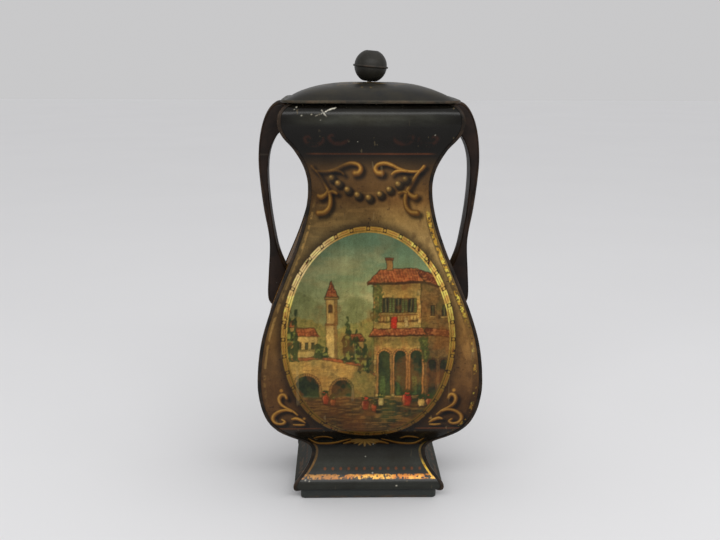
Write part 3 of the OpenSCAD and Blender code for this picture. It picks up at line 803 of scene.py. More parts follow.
def varnish_picture(q, seed):
    """Brush texture, broad light and shade, and warm old varnish."""
    x, z = q.x, q.z
    busy = (0.35 + 0.65 * smooth(150, 128, z))
    q.tone(1 + busy * 0.62 * (fractal(x * 1.3, z * 0.8, 1.9, seed + 61) - 0.5))
    q.tone(1 + 0.24 * (fractal(x, z, 20, seed + 63) - 0.5))
    glaze = fractal(x, z, 11, seed + 64)
    q.lay(smooth(0.54, 0.70, glaze) * 0.30 * busy, ink(84, 92, 44))
    q.lay(smooth(0.46, 0.30, glaze) * 0.30 * busy, ink(150, 92, 40))
    q.lay(smooth(0.66, 0.78, fractal(x, z, 1.4, seed + 66)) * 0.35 * busy, ink(44, 34, 20))
    q.tone(0.84 + 0.16 * smooth(110, 150, z))
    q.tone(1 - 0.30 * smooth(128, 172, z - 0.3 * x))
    q.tone(1 + 0.16 * between(z, 74, 86, 116, 132))
    q.tone(1 - 0.30 * smooth(78, 66, z) * smooth(10, -20, x))
    q.tone(1 - 0.30 * smooth(-12, -34, x) * smooth(112, 128, z))
    q.rgb *= np.array([1.04, 0.99, 0.80])
    q.shade(smooth(0.62, 0.74, noise(x * 2.6, z * 0.12, 2.2, seed + 67)) * 0.2, 0.6)
    grain(q, 0.07, seed + 65)


def picture(p, seed, flip=1):
    """A made-up hill town by a river: sky, hills, a tall house, low roofs, trees and open ground."""
    q = Scene(p, flip, seed)
    sky_and_hills(q, seed)
    village(q)
    big_house(q, seed)
    bridge(q, seed)
    greenery(q, seed)
    open_ground(q, seed)
    for pot in POTS:
        q.pot(*pot)
    varnish_picture(q, seed)
    return q.rgb


def aged_ground(p, seed):
    """The wide sheet's brown ground: cloudy, stained, spotted, and darker towards the edges, with painted
    light from the right, painted shade on the left of the neck and a painted highlight along the shoulder.
    """
    x, z = p.x, p.z
    p.rgb = ramp(z + 3 * (fractal(x, z, 30, seed) - 0.5), GROUND_AND_SHEEN)
    p.tone(0.84 + 0.32 * fractal(x, z, 16, seed + 2))
    # Painted light from the right: in the brown band the ground is darker overall and lighter towards the
    # right.
    brown = between(z, 60, 84, 196, 215)
    sunny = smooth(-50, 55, x) * brown
    p.tone(1 + brown * (0.62 * sunny - 0.36))
    # Painted shade: darker on the left of the neck.
    p.tone(1 - 0.34 * between(z, 150, 176, 200, 212) * smooth(20, -6, x))
    grime_and_shade = smooth(0.56, 0.70, fractal(x * 0.7, z * 1.4, 7, seed + 13)) * between(z, 60, 90, 196, 212)
    p.shade(grime_and_shade * 0.28, 0.6)
    ground = between(z, 52, 66, 200, 214)
    p.tone(1 + ground * 0.42 * (fractal(x, z, 3.4, seed + 31) - 0.5))
    p.tone(1 + ground * 0.16 * (noise(x * 1.6, z * 0.5, 1.0, seed + 32) - 0.5))
    stains = smooth(0.60, 0.72, fractal(x * 1.3, z * 0.8, 5, seed + 33)) * smooth(-20, 30, x)
    p.lay(stains * ground * 0.34, ink(70, 44, 22))
    foxing = smooth(0.84, 0.90, noise(x, z, 1.3, seed + 34))
    foxing = foxing * smooth(0.46, 0.60, fractal(x, z, 11, seed + 35))
    p.lay(foxing * ground * 0.6, ink(40, 26, 16))
    streaks = smooth(0.62, 0.76, noise(x * 0.25, z * 1.6, 2.5, seed + 14))
    p.lay(streaks * between(z, 150, 176, 198, 206) * 0.10, ink(186, 148, 86))
    p.shade(smooth(2.6, 0.6, p.edge), 0.30)
    p.shade(smooth(8, 2, p.edge) * smooth(215, 190, z) * smooth(50, 62, z) * 0.35, 0.6)
    p.shade(smooth(16, 0, p.oval(*OVAL)) * smooth(96, 60, z) * 0.75, 0.45)
    p.shade(smooth(60, 40, z + abs(x) * 0.12) * 0.6, 0.5)
    p.tone(1 - 0.30 * smooth(36, 52, x) * between(z, 50, 58, 92, 112))
    p.rgb[:, 2] *= 1 + 0.06 * between(z, 150, 176, 204, 214)
    # Painted highlight: a pale band along the shoulder where the lamp's reflection lies.
    rub_and_sheen = between(z, 240, 245.5, 246.5, 251.5) * smooth(54, 34, abs(x))
    p.lay(rub_and_sheen * (0.10 + 0.5 * fractal(x * 0.3, z, 4, seed + 19)), ink(98, 102, 96))


def wide_print(x, z, edge, seed, flip):
    """The print of a wide sheet: aged ground, ornament and the framed picture."""
    p = Print(x, z, edge)
    aged_ground(p, seed)
    ornament(p, seed)
    gold_edges(p, seed)
    d = border(p, seed)
    centre = d < -3.4
    mask, full = np.zeros(len(x)), p.rgb.copy()
    mask[centre] = smooth(-3.7, -4.2, d[centre])
    full[centre] = picture(Print(x[centre], z[centre], edge[centre]), seed, flip)
    p.lay(mask, full)
    grain(p, 0.05, seed + 71)
    return p


def leaf_spray():
    """A stem with pairs of leaves, and between them twigs with a berry, as brush strokes."""
    spray = [([(0, 84), (0.6, 104), (-0.4, 124), (0, 146)], [0.35, 0.6, 0.5, 0.25])]
    pairs = ((87, 9, 8), (96, 13, 10), (106, 15.5, 11), (117, 15, 11), (128, 12, 10), (138, 8.5, 9))
    for side in (-1, 1):
        for base, reach, lift in pairs:
            reach = side * reach
            leaf = [(side * 0.5, base), (reach * 0.4, base + lift * 0.24),
                    (reach * 0.78, base + lift * 0.66), (reach, base + lift * 1.15)]
            twig = [(side * 0.4, base + 3), (reach * 0.3, base + lift * 0.75),
                    (reach * 0.5, base + lift * 1.1)]
            berry = [twig[2], (twig[2][0] + side * 0.3, twig[2][1] + 0.3)]
            spray += [(leaf, [0.35, 1.5, 1.3, 0.2]), (twig, [0.25, 0.3, 0.25]), (berry, [0.85, 0.85])]
    return spray


def narrow_print(x, z, edge, seed):
    """The print of a side sheet: dark ground, brown in the middle, with a framed leaf spray."""
    p = Print(x, z, edge)
    p.rgb = ramp(z + 4 * (fractal(x, z, 30, seed) - 0.5), SIDE_GROUND)
    p.tone(0.86 + 0.28 * fractal(x, z, 14, seed + 2))
    p.shade(smooth(9, 1, edge), 0.35)
    worn = fractal(x, z, 3, seed + 7)
    line = smooth(0.9, 0.5, abs(edge - 3.6)) * between(z, 14, 18, 214, 226)
    p.lay(line * (0.25 + 0.6 * smooth(0.45, 0.65, worn)) * 0.8, DIM_GOLD, 0.7)
    band = smooth(1.7, 1.3, abs(z - PLINTH_BAND_Z)) * smooth(1.6, 2.6, edge)
    p.lay(band * smooth(0.50, 0.56, fractal(x * 0.6, z, 1.5, seed + 9)) * 0.2, ink(150, 98, 48), 0.7)
    for k in range(-4, 5):
        p.dot(k * PLINTH_DOT_STEP, PLINTH_DOT_Z, PLINTH_DOT_R, PLINTH_DOT_R, (120, 70, 40), 0.6, 0.1, 0.4)
    upper, lower = UPPER_SCROLL[:1] + UPPER_SCROLL[2:4], LOWER_SCROLL[:3]
    lobes = [([((px - 3) * 0.62, pz) for px, pz in pts], w) for pts, w in upper]
    lobes += [([((px - 37) * 0.85 + 14, pz + 4) for px, pz in pts], w) for pts, w in lower]
    strokes = [([(s * px, pz) for px, pz in pts], [v * 1.2 for v in w]) for pts, w in lobes for s in (-1, 1)]
    raised(p, strokes, 0.8, 0.7, worn)
    frame_line = p.oval(0, 128, 25, 47)
    p.shade(between(frame_line, -1, 0.2, 0, 4), 0.5)
    p.lay(inside(abs(frame_line + 0.6) - 0.6, 0.25) * (0.4 + 0.5 * worn), DIM_GOLD, 0.8)
    p.lay(inside(abs(frame_line + 2.4) - 0.35, 0.25) * (0.3 + 0.4 * worn), DIM_GOLD, 0.7)
    raised(p, leaf_spray(), 0.5, 0.75, worn)
    flower_z, petals = 152, 8
    for k in range(petals):
        petal = [polar(r, 360 * k / petals) for r in (1.6, 3.6, 5.6)]
        lit_stroke(p, [(px, flower_z + pz) for px, pz in petal], [0.5, 1.3, 0.5], 0.8, worn)
    p.dot(0, flower_z, 1.7, 1.7, (196, 150, 66), 0.9, 0.4)
    grain(p, 0.06, seed + 71)
    return p


# ---------------------------------------------------------------------------------------------
# Materials
# ---------------------------------------------------------------------------------------------


class Nodes:
    """Short names for building a material's nodes."""

    def __init__(self, name):
        self.material = bpy.data.materials.new(name)
        self.material.use_nodes = True
        self.tree = self.material.node_tree
        self.shader = self.tree.nodes["Principled BSDF"]
        self.place = self.add("ShaderNodeTexCoord").outputs["Object"]

    def add(self, kind, numbers=(), **settings):
        n = self.tree.nodes.new(kind)
        for key, value in settings.items():
            setattr(n, key, value)
        for key, value in numbers:
            n.inputs[key].default_value = value
        return n

    def link(self, a, b):
        self.tree.links.new(a, b)

    def attribute(self, name, output="Fac"):
        return self.add("ShaderNodeAttribute", attribute_name=name).outputs[output]

    def noise(self, scale, detail=4.0, rough=0.55, stretch=None):
        n = self.add("ShaderNodeTexNoise", [("Scale", scale), ("Detail", detail), ("Roughness", rough)])
        source = self.place
        if stretch:
            m = self.add("ShaderNodeMapping", [("Scale", stretch)])
            self.link(self.place, m.inputs["Vector"])
            source = m.outputs["Vector"]
        self.link(source, n.inputs["Vector"])
        return n.outputs["Fac"]

    def cells(self, scale):
        n = self.add("ShaderNodeTexVoronoi", [("Scale", scale)])
        self.link(self.place, n.inputs["Vector"])
        return n.outputs["Distance"]

    def step(self, value, low, high, to_low=0.0, to_high=1.0):
        n = self.add("ShaderNodeMapRange", [
            ("From Min", low), ("From Max", high), ("To Min", to_low), ("To Max", to_high)])
        self.link(value, n.inputs["Value"])
        return n.outputs["Result"]

    def feed(self, sockets, values):
        """Gives each socket a number, a colour or another node's output."""
        for socket, value in zip(sockets, values):
            if isinstance(value, (int, float)):
                socket.default_value = value
            elif isinstance(value, np.ndarray):
                socket.default_value = (*value.tolist(), 1.0)
            else:
                self.link(value, socket)

    def math(self, op, a, b):
        n = self.add("ShaderNodeMath", operation=op)
        self.feed(n.inputs, (a, b))
        return n.outputs[0]

    def times(self, a, b):
        return self.math("MULTIPLY", a, b)

    def mix(self, share, a, b, blend="MIX"):
        n = self.add("ShaderNodeMix", data_type="RGBA", blend_type=blend)
        factor, colour_a, colour_b = n.inputs[0], n.inputs[6], n.inputs[7]
        self.feed((factor, colour_a, colour_b), (share, a, b))
        return n.outputs[2]

    def mottle(self, colour, pattern, low, high, dark, light=(255, 255, 255)):
        """The colour multiplied by a tint that follows a pattern."""
        tint = self.mix(self.step(pattern, low, high), ink(*dark), ink(*light))
        return self.mix(1.0, colour, tint, "MULTIPLY")

    def over(self, colour, mask, share, top):
        """The colour with another laid over it where the mask is high."""
        return self.mix(self.times(mask, share), colour, ink(*top))

    def surface(self, colour, rough, height, strength):
        """Links the colour, the roughness and a bump of 0.3 mm."""
        bump = self.add("ShaderNodeBump", [("Distance", 0.3 * MM), ("Strength", strength)])
        self.link(height, bump.inputs["Height"])
        self.link(bump.outputs["Normal"], self.shader.inputs["Normal"])
        self.link(colour, self.shader.inputs["Base Color"])
        self.link(rough, self.shader.inputs["Roughness"])

    def set(self, **values):
        for key, value in values.items():
            self.shader.inputs[key.replace("_", " ")].default_value = value


def print_material(name, varnish):
    """Lithographed ink under an old glossy varnish, with gold ink that shines like metal."""
    m = Nodes(name)
    gold = m.attribute("gold")
    blotch = m.noise(55, 6, 0.6)
    fine = m.noise(1500, 3)
    colour = m.mottle(m.attribute("print", "Color"), blotch, 0.32, 0.68, (215, 205, 190), (255, 252, 246))
    colour = m.mottle(colour, fine, 0.3, 0.7, (228, 224, 216))
    pits = m.times(m.step(m.cells(380), 0.10, 0.05), m.step(m.noise(120, 2), 0.52, 0.60))
    colour = m.over(colour, pits, 0.85, (26, 18, 12))
    scratch = m.step(m.noise(300, 2, 0.5, (1.0, 1.0, 0.05)), 0.70, 0.74)
    colour = m.over(colour, scratch, 0.10, (190, 166, 118))
    rough = m.math("SUBTRACT", m.step(blotch, 0.3, 0.75, 0.27, 0.43), m.times(gold, 0.04))
    m.surface(colour, rough, m.math("ADD", m.times(fine, 0.10), m.noise(40, 3)), 0.3)
    m.link(m.times(gold, 0.45), m.shader.inputs["Metallic"])
    m.set(Specular_IOR_Level=0.0, Coat_Weight=varnish, Coat_Roughness=0.22)
    return m.material


def enamel_material(name, base, worn, roughness, rub_and_sheen, specks, gloss):
    """Old dark stoving enamel: brown wear where the edge number is high, rubbed patches, pale specks."""
    m = Nodes(name)
    blotch = m.noise(38, 6, 0.62)
    fine = m.noise(1300, 2)
    streaky = m.noise(22, 7, 0.7, (1.0, 2.6, 1.0))
    patches = m.math("MAXIMUM", m.step(blotch, 0.46, 0.66), m.step(streaky, 0.50, 0.70))
    colour = m.mix(m.times(patches, rub_and_sheen), ink(*base), ink(*worn))
    wear = m.times(m.attribute("edge"), m.step(m.noise(150, 5, 0.6), 0.42, 0.62))
    colour = m.over(colour, wear, 0.8, (92, 70, 50))
    colour = m.mottle(colour, fine, 0.3, 0.7, (222, 220, 214))
    dots = m.times(m.step(m.cells(210), 0.075, 0.045), m.step(m.noise(70, 1), 0.62, 0.68))
    colour = m.over(colour, dots, specks, (172, 172, 160))
    scratch = m.step(m.noise(300, 2, 0.5, (0.05, 1.0, 1.0)), 0.715, 0.745)
    colour = m.over(colour, scratch, 0.07, (140, 126, 104))
    colour = m.over(colour, m.attribute("trace"), 0.7, (120, 96, 50))
    # The lid's painted number darkens it towards the rim: painted shade.
    colour = m.over(colour, m.attribute("grime_and_shade"), 0.8, (8, 8, 7))
    rough = m.step(blotch, 0.3, 0.72, roughness - 0.06, roughness + 0.14)
    m.surface(colour, rough, m.math("ADD", m.times(fine, 0.10), m.noise(55, 4)), 0.35)
    m.set(Specular_IOR_Level=gloss)
    return m.material


def tinplate_material():
    """Bare tin with a faint spangle and brown stains."""
    m = Nodes("bare_tin")
    spangle = m.noise(70, 5, 0.6)
    stain = m.step(m.noise(30, 5, 0.6), 0.50, 0.66)
    colour = m.mix(m.step(spangle, 0.3, 0.7), ink(150, 146, 134), ink(186, 182, 168))
    colour = m.over(colour, stain, 0.7, (112, 86, 60))
    m.surface(colour, m.step(spangle, 0.3, 0.7, 0.34, 0.5), m.noise(120, 4), 0.3)
    m.link(m.step(stain, 0.0, 1.0, 0.85, 0.30), m.shader.inputs["Metallic"])
    return m.material


PRINT = print_material("printed_tin", 0.36)
SIDE_PRINT = print_material("printed_side", 0.14)
# Enamels: colour, rubbed colour, roughness, share rubbed, share of specks, gloss
SEAM = enamel_material("seam_enamel", (19, 16, 12), (30, 22, 15), 0.42, 0.5, 0.1, 0.16)
FOOT = enamel_material("foot_enamel", (47, 51, 50), (60, 60, 55), 0.36, 0.4, 0.5, 0.22)
DARK = enamel_material("lid_enamel", (30, 29, 25), (74, 68, 52), 0.40, 0.75, 0.3, 0.22)
HANDLE = enamel_material("handle_enamel", (26, 19, 15), (56, 39, 30), 0.44, 0.6, 0.15, 0.16)
# The knob's enamel is a lighter copy of the lid's: painted light for the brighter, better lit knob.
KNOB = enamel_material("knob_enamel", (36, 35, 31), (56, 52, 42), 0.42, 0.6, 0.2, 0.26)
TIN = tinplate_material()

# ---------------------------------------------------------------------------------------------
# Body
# ---------------------------------------------------------------------------------------------


FACES_SIDEWAYS, FACES_DEPTHWISE = 0, 1


def bent_sheet(name, node, facing, side, seed):
    """A printed sheet bent to the outline and slightly dented, facing up or down the given axis."""
    if facing == FACES_DEPTHWISE:
        cols, half, reach, place = WIDE_COLS, row_w, row_w, row_d
        out, up, dent_size, dent_depth, ground = front_out, front_up, 34, 0.7, PRINT
    else:
        cols, half, reach, place = NARROW_COLS, row_d - SHEET_T, row_d, row_w
        out, up, dent_size, dent_depth, ground = side_out, side_up, 30, 0.5, SIDE_PRINT
    u = np.linspace(-1, 1, cols)
    across, z = half[:, None] * u, np.repeat(row_z[:, None], cols, 1)
    calm = (1 - np.abs(u) ** 8) * between(row_z, 8, 20, 246, 253)[:, None]
    dent = (fractal(across, z, dent_size, seed + 5, 3) - 0.5) * dent_depth * calm
    normal, outer = np.zeros((2, ROWS, cols, 3))
    normal[..., facing] = side * out[:, None]
    normal[..., 2] = up[:, None]
    outer[..., facing] = side * place[:, None]
    outer[..., 1 - facing] = across
    outer[..., 2] = z
    outer += normal * dent[..., None]
    piece, source = sheet(name, outer, normal, [ground, TIN], (side > 0) == (facing == FACES_DEPTHWISE))
    edge = (reach[:, None] - np.abs(across)).ravel()
    if facing == FACES_DEPTHWISE:
        p = wide_print((across * -side).ravel(), z.ravel(), edge, seed, -side)
    else:
        p = narrow_print((across * side).ravel(), z.ravel(), edge, seed)
    paint(piece, "print", p.rgb[source])
    paint(piece, "gold", p.gold[source])
    give(piece, "tin", node)


def corner_seam(sx, sy, name, node):
    """The folded lip that laps over both sheets at one corner."""
    lap, t = LIP_LAP, LIP_T
    # Distance back along the wide and the narrow sheet, height above each, and how worn it is there
    section = [(-lap, 0, -0.05, 0, 0), (-lap - 0.05, 0, 0.28, 0, 0.15), (-lap + 0.22, 0, t, 0, 0.35),
               (-0.8, 0, t, 0, 0.2), (-0.25, 0, t, t * 0.45, 0.45), (0, 0, t * 0.86, t * 0.86, 0.6),
               (0, -0.25, t * 0.45, t, 0.45), (0, -0.8, 0, t, 0.2), (0, -lap + 0.22, 0, t, 0.35),
               (0, -lap - 0.05, 0, 0.28, 0.15), (0, -lap, 0, -0.05, 0), (0, -0.4, 0, -0.1, 0),
               (-0.4, 0, -0.1, 0, 0)]
    rings = []
    wobble = (fractal(row_z, row_z * 0, 9, int(11 + sx + 3 * sy)) - 0.5) * 0.16
    for i in range(0, ROWS, 2):
        nf = np.array([0, sy * front_out[i], front_up[i]])
        ns = np.array([sx * side_out[i], 0, side_up[i]])
        c = np.array([sx * row_w[i], sy * row_d[i], row_z[i]])
        rings.append([c + np.array([sx * a, sy * b, 0]) + nf * (f + wobble[i] * (f > 0.1))
                      + ns * (s + wobble[i] * (s > 0.1)) for a, b, f, s, _ in section])
    piece = closed_sweep(name, rings, SEAM)
    paint(piece, "edge", np.tile([worn for *_, worn in section], len(rings)))
    give(piece, "tin", node)


def rounded_rectangle(half_w, half_d, r, per_corner=12, per_side=10):
    """Points round a rectangle with round corners, each with its outward direction."""
    out = []
    corners = [(1, -1, -90), (1, 1, 0), (-1, 1, 90), (-1, -1, 180)]
    for k, (sx, sy, start) in enumerate(corners):
        c = np.array([sx * (half_w - r), sy * (half_d - r)])
        for q in range(per_corner + 1):
            direction = polar(1, start + 90 * q / per_corner)
            out.append((*(c + r * np.array(direction)), *direction))
        nx, ny, _ = corners[(k + 1) % 4]
        end = np.array([nx * (half_w - r), ny * (half_d - r)]) + r * np.array(direction)
        here = np.array(out[-1][:2])
        for q in range(1, per_side):
            out.append((*(here + (end - here) * q / per_side), *direction))
    return np.array(out)


def foot():
    """Stepped foot with a rounded lower edge, a ring to stand on and a recessed bottom."""
    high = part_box("base_pan")[1]
    half_w, half_d, top = high.x / MM, high.y / MM, high.z / MM
    bend, stand, slope, recess, t = 1.2, 7.0, 0.8, 1.4, SHEET_T
    wall = rounded_rectangle(half_w, half_d, 3.0)
    inner = rounded_rectangle(half_w - stand, half_d - stand, 2.6)
    middle = rounded_rectangle(half_w - stand - slope, half_d - stand - slope, 2.2)
    centre = middle * 0.5
    # Each ring: the plan that it follows, how far inside that plan, and its height
    profile = [(wall, 0, z) for z in (top, 6.2, 4, 2.4)]
    profile += [(wall, bend - x, bend + z) for x, z in (polar(bend, a) for a in range(0, -91, -15))]
    hole = len(profile) + 2
    profile += [(inner, 0, 0), (middle, 0, recess), (centre, 0, recess - 0.1), (centre, 0, recess + t),
                (middle, 0, recess + t), (inner, 0, t), (wall, bend + 0.1, t), (wall, t, bend),
                (wall, t, top)]
    rings = np.array([[(x - nx * inset, y - ny * inset, z) for x, y, nx, ny in plan]
                      for plan, inset, z in profile])
    n, m = rings.shape[:2]
    faces = [f for f in grid_faces(n, m, wrap_rows=True, wrap_cols=True)
             if {f[0] // m, f[2] // m} != {hole, hole + 1}]
    faces += [list(range(hole * m, hole * m + m))[::-1], list(range(hole * m + m, hole * m + 2 * m))]
    piece = outward(make_mesh("foot", rings.reshape(-1, 3), faces, [FOOT]))
    edge = np.zeros((n, m))
    edge[4:8] = 0.7
    paint(piece, "edge", edge.ravel())
    give(piece, "tin", "base_pan")


def body_half_width(z):
    return np.interp(z, row_z, row_w)


def outside_body(curve, count, soften):
    """The part of a handle's edge that lies outside the body, evenly spaced."""
    fine = even(curve, 2000, soften)
    clear = np.flatnonzero(fine[:, 0] > body_half_width(fine[:, 1]) - 0.15)
    return even(fine[clear[0]:clear[-1] + 1], count)


def handle_shell(sx, sy, name, node):
    """Half of a hollow handle: a flat face with a bead along its outer edge, and a grooved seam."""
    count = 181
    upper = outside_body(spline(HANDLE_OUTER, 16), count, 1.0)
    lower = outside_body(spline(HANDLE_INNER, 16), count, 1.0)
    depth, widest_bend, wall = HANDLE_HALF_DEPTH, 1.3, 0.45
    rings = []
    for k, (o, i) in enumerate(zip(upper, lower)):
        across = o - i
        width = np.linalg.norm(across)
        across = across / width
        bend = min(widest_bend, width * 0.3)
        # Outside of the shell, then its inside: distance from the inner edge, and depth
        line = [(0.3, 0.0), (0.02, 0.35), (0.0, 0.7), (0.0, depth - bend)]
        line += [(bend - c, depth - bend + s) for c, s in (polar(bend, a) for a in range(18, 91, 18))]
        line += [(width * 0.45, depth + 0.08), (width - 3.0, depth), (width - 2.5, depth - 0.12),
                 (width - 2.15, depth - 0.38), (width - 1.8, depth - 0.1), (width - 1.4, depth + 0.12),
                 (width - 0.9, depth + 0.05), (width - 0.45, depth - 0.3), (width - 0.12, depth - 0.9),
                 (width, depth - 1.6), (width, 0.7), (width - 0.02, 0.35), (width - 0.3, 0.0)]
        line += [(width - wall - 0.2, 0.0), (width - wall, 0.8), (width - wall, depth - 1.8),
                 (width - 1.6, depth - wall - 0.4), (width * 0.45, depth - wall), (bend, depth - wall),
                 (wall, depth - bend), (wall, 0.8), (wall + 0.2, 0.0)]
        ripple = 0.10 * (noise(k * 0.9, 3.0, 14, 71 + int(sx)) - 0.5)
        ring = []
        for a, y in line:
            px, pz = i + across * a
            px = max(px, body_half_width(pz) - 0.2)
            ring.append((sx * px, sy * (y + ripple * (y > 2)), pz))
        rings.append(ring)
    piece = closed_sweep(name, rings, HANDLE)
    edge = np.zeros((count, len(rings[0])))
    edge[:, 3:8] = 0.2
    edge[:, 13:18] = 0.45
    paint(piece, "edge", edge.ravel())
    give(piece, "tin", node)


bent_sheet("front_sheet", "front_panel", FACES_DEPTHWISE, -1, FRONT_SEED)
bent_sheet("back_sheet", "back_panel", FACES_DEPTHWISE, 1, 207)
bent_sheet("right_sheet", "right_panel", FACES_SIDEWAYS, 1, 311)
bent_sheet("left_sheet", "left_panel", FACES_SIDEWAYS, -1, 419)
for sx, side in ((1, "right"), (-1, "left")):
    for sy, face in ((-1, "front"), (1, "back")):
        corner_seam(sx, sy, f"{side}_{face}_seam", f"{side}_panel")
        handle_shell(sx, sy, f"{side}_handle_{face}_shell", f"{side}_handle_{face}")
foot()

# ---------------------------------------------------------------------------------------------
# Lid and knob
# ---------------------------------------------------------------------------------------------


def plan_ring(a, z, count):
    """The lid's plan at one half width: round at the middle, squarer towards the rim."""
    b = a - (LID_HALF_W - half_depth(LID_HALF_W)) * (a / LID_HALF_W) ** 1.5
    e = 2 / (2 + 8 * (a / LID_HALF_W) ** 2)
    t = np.linspace(0, 2 * math.pi, 1441)
    curve = np.stack([a * np.sign(np.cos(t)) * np.abs(np.cos(t)) ** e,
                      b * np.sign(np.sin(t)) * np.abs(np.sin(t)) ** e], 1)
    ring = even(curve, count + 1)[:-1]
    return np.concatenate([ring, np.full((count, 1), z)], 1)


def lid_cover():
    """Domed lid with a flat flange and a curled rim, enamelled outside and bare tin inside."""
    count = 240
    flange_in, rim_start = DOME_HALF_W + 0.3, LID_HALF_W - 1.3
    dome = [(a, FLANGE_TOP + DOME_H * (1 - (a / DOME_HALF_W) ** 3))
            for a in np.linspace(2, DOME_HALF_W - 0.4, 60)]
    flange = [(DOME_HALF_W - 0.1, FLANGE_TOP + 0.08), (flange_in, FLANGE_TOP),
              (LID_HALF_W - 1.1, FLANGE_TOP)]
    curl = [(LID_HALF_W + x, COVER_Z + z) for x, z in (polar(CURL_R, a) for a in range(125, -171, -18))]
    under = [(LID_HALF_W - 0.9, COVER_Z + 0.02), (flange_in, COVER_Z + 0.02),
             (DOME_HALF_W - 0.2, COVER_Z + 0.1)]
    inner = [(a, z - SHEET_T * 1.05) for a, z in dome[::-3]]
    profile = dome + flange + curl + under + inner
    half = np.array([a for a, _ in profile])
    rings = np.array([plan_ring(a, z, count) for a, z in profile])
    on_top = np.clip((LID_HALF_W - 2 - half) / 6, 0, 1)[:, None]
    x, y = rings[..., 0], rings[..., 1]
    rings[..., 2] += (fractal(x + 90, y + 40, 30, 505, 3) - 0.5) * 0.8 * on_top
    rings[..., 2] += (fractal(x + 300, y, 40, 515, 2) - 0.5) * 0.3 * (half > rim_start)[:, None]
    bare = np.arange(len(profile)) >= len(dome + flange + curl)
    piece = outward(make_mesh("lid_dome", rings.reshape(-1, 3),
                              grid_faces(len(profile), count, wrap_rows=True, wrap_cols=True),
                              [DARK, TIN], np.repeat(bare, count)))
    paint(piece, "edge", np.repeat(0.5 * (half > LID_HALF_W + 0.5), count))
    turn, far = np.arctan2(y * 1.25, x), np.hypot(x, y * 1.25)
    leaf = np.abs(np.sin(4 * turn)) ** 1.5
    star = smooth(2.2, 0.4, np.abs(far - 13 - 9 * leaf))
    star = star + 0.8 * smooth(2.2, 0.4, np.abs(far - 13 - 4.5 * leaf))
    ring = smooth(1.3, 0.3, np.abs(far - 27.5)) + 0.6 * smooth(1.0, 0.2, np.abs(far - 30))
    beads = smooth(0.75, 0.9, np.cos(40 * turn)) * smooth(1.6, 0.8, np.abs(far - 33.5))
    left = smooth(0.40, 0.62, fractal(x + 70, y + 70, 6, 525))
    paint(piece, "trace", (np.clip(star + ring + beads, 0, 1) * left * on_top).ravel())
    # Painted shade: the lid is darker towards the rim, on the dome's lower slope.
    grime_and_shade = 0.75 * np.clip((half - 34) / 12, 0, 1) * (half < rim_start)
    paint(piece, "grime_and_shade", np.repeat(grime_and_shade, count))
    give(piece, "lid", "lid_cover")


def turned(name, profile, node, edge, segments=112):
    """A solid of revolution about the knob's own tilted axis, from a profile."""
    c, s = polar(1, KNOB_TILT)
    seat = DOME_TOP + 0.5
    circle = [polar(1, 360 * k / segments) for k in range(segments)]
    rings = [[(r * x * c + z * s, r * y, seat - r * x * s + z * c) for x, y in circle] for r, z in profile]
    piece = closed_sweep(name, rings, KNOB)
    paint(piece, "edge", np.repeat(edge, segments))
    give(piece, "lid", node)


def knob():
    """Hollow ball in two halves: the lower one has a lip crimped over the edge of the upper one."""
    ball_z = math.sqrt(KNOB_R ** 2 - KNOB_BASE_R ** 2)
    crimp, lip, base = ball_z - 0.8, KNOB_LIP_R, KNOB_BASE_R
    crown = ball_z + math.sqrt(KNOB_R ** 2 - 3.7 ** 2)

    def ball(first, last, count):
        """Points up the outside of the ball, and fewer points back down its inside."""
        outside = [(r, ball_z + z) for r, z in (polar(KNOB_R, a) for a in np.linspace(first, last, count))]
        return outside, [(r * 0.955, ball_z + (z - ball_z) * 0.955) for r, z in outside[::-2]]

    top, inner = ball(2, 66, 26)
    profile = [(KNOB_R - 0.5, ball_z - 0.1), (lip - 0.5, ball_z - 0.1), (lip - 0.5, ball_z + 0.08)] + top
    profile += [(3.9, crown - 0.12), (3.4, crown), (1.5, crown + 0.03), (0.2, crown + 0.03),
                (0.2, crown - 0.5), (3.2, crown - 0.5)] + inner
    edge = [0.3, 0.3, 0.3] + [0.0] * len(top) + [0.25, 0.25, 0.1, 0.1, 0, 0] + [0] * len(inner)
    turned("knob_top", profile, "knob_upper", edge)
    low, inner = ball(-63, -6, 24)
    profile = [(1.6, 0.0), (base - 0.4, 0.0), (base, 0.12)] + low
    profile += [(KNOB_R, crimp - 0.02), (lip - 0.4, crimp - 0.05), (lip - 0.05, crimp + 0.15),
                (lip, crimp + 0.6), (lip - 0.1, ball_z + 0.28), (lip - 0.35, ball_z + 0.38),
                (lip - 0.6, ball_z + 0.22), (lip - 0.45, ball_z + 0.05), (lip - 0.45, crimp + 0.4),
                (9.7, crimp + 0.4)]
    profile += inner + [(base - 0.5, 0.4), (1.6, 0.4)]
    edge = [0, 0.2, 0.3] + [0.0] * len(low) + [0.1, 0.2, 0.35, 0.4, 0.35, 0.2, 0.1, 0, 0, 0]
    turned("knob_bottom", profile, "knob_lower", edge + [0] * (len(inner) + 2))


lid_cover()
knob()
for name in ("mouth_collar", "lid_collar", "knob_rivet", "knob_washer"):
    if not nodes[name].data.materials:
        nodes[name].data.materials.append(TIN)
    for material_slot in nodes[name].material_slots:
        material_slot.link = "OBJECT"
        material_slot.material = TIN

# ---------------------------------------------------------------------------------------------
# Stage: pale floor, soft light, camera
# ---------------------------------------------------------------------------------------------


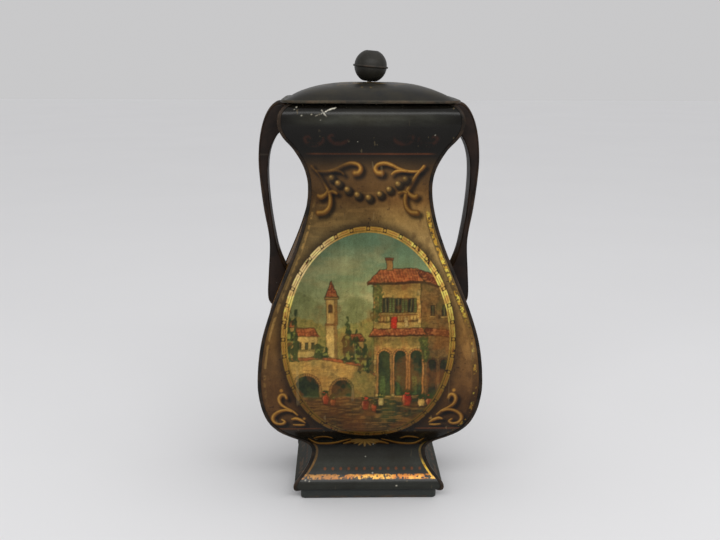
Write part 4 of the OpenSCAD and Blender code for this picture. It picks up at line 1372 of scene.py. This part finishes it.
def surroundings():
    """A wide pale floor under an even pale sky."""
    m = Nodes("studio_floor")
    m.link(m.mix(m.step(m.noise(3, 3), 0.3, 0.7), ink(229, 229, 230), ink(231, 231, 232)),
           m.shader.inputs["Base Color"])
    m.set(Roughness=0.85)
    size = 6000
    floor = make_mesh("floor", [(-size, -size, 0), (size, -size, 0), (size, size, 0), (-size, size, 0)],
                      [(0, 1, 2, 3)], [m.material])
    world = bpy.data.worlds.new("studio")
    world.use_nodes = True
    sky = world.node_tree.nodes["Background"].inputs
    sky["Color"].default_value = (0.583, 0.581, 0.588, 1)
    sky["Strength"].default_value = 1.0
    bpy.context.scene.world = world


def lamp(kind, name, direction, power):
    light = bpy.data.lights.new(name, kind)
    light.energy = power
    holder = bpy.data.objects.new(name, light)
    holder.rotation_mode = "QUATERNION"
    holder.rotation_quaternion = Vector(direction).to_track_quat("-Z", "Y")
    bpy.context.scene.collection.objects.link(holder)
    return holder


def softbox(name, place, target, size, power):
    box = lamp("AREA", name, Vector(target) - Vector(place), power)
    box.data.shape = "RECTANGLE"
    box.data.size, box.data.size_y = size
    box.location = place
    box.visible_camera = False


def sun(name, direction, power, spread):
    """Light from the whole upper side, so the far floor is as bright as the background."""
    lamp("SUN", name, direction, power).data.angle = math.radians(spread)


def camera():
    """Level with the lid, looking down on the foot, a little to the tin's left."""
    distance, height = 0.6086, 0.2808
    round_by, aim, down, roll = (math.radians(a) for a in (1.92, -0.50, 12.59, 0.25))
    data = bpy.data.cameras.new("camera")
    data.sensor_width = 36
    data.lens = 47.5
    cam = bpy.data.objects.new("camera", data)
    cam.location = (-distance * math.sin(round_by), -distance * math.cos(round_by), height)
    heading, level = round_by + aim, math.cos(down)
    forward = Vector((math.sin(heading) * level, math.cos(heading) * level, -math.sin(down)))
    cam.rotation_euler = forward.to_track_quat("-Z", "Y").to_euler()
    cam.rotation_euler.rotate_axis("Z", roll)
    bpy.context.scene.collection.objects.link(cam)
    bpy.context.scene.camera = cam


surroundings()
sun("overcast", (-0.3, 0.25, -1.0), 0.53, 80)
softbox("high_strip", (0.0, -1.02, 0.94), (0, 0, 0.22), (1.5, 0.25), 7.2)
softbox("window", (1.3, -0.9, 0.9), (0, 0, 0.12), (0.6, 0.6), 1.6)
camera()
bpy.context.scene.view_settings.view_transform = "Standard"
bpy.context.scene.view_settings.look = "None"
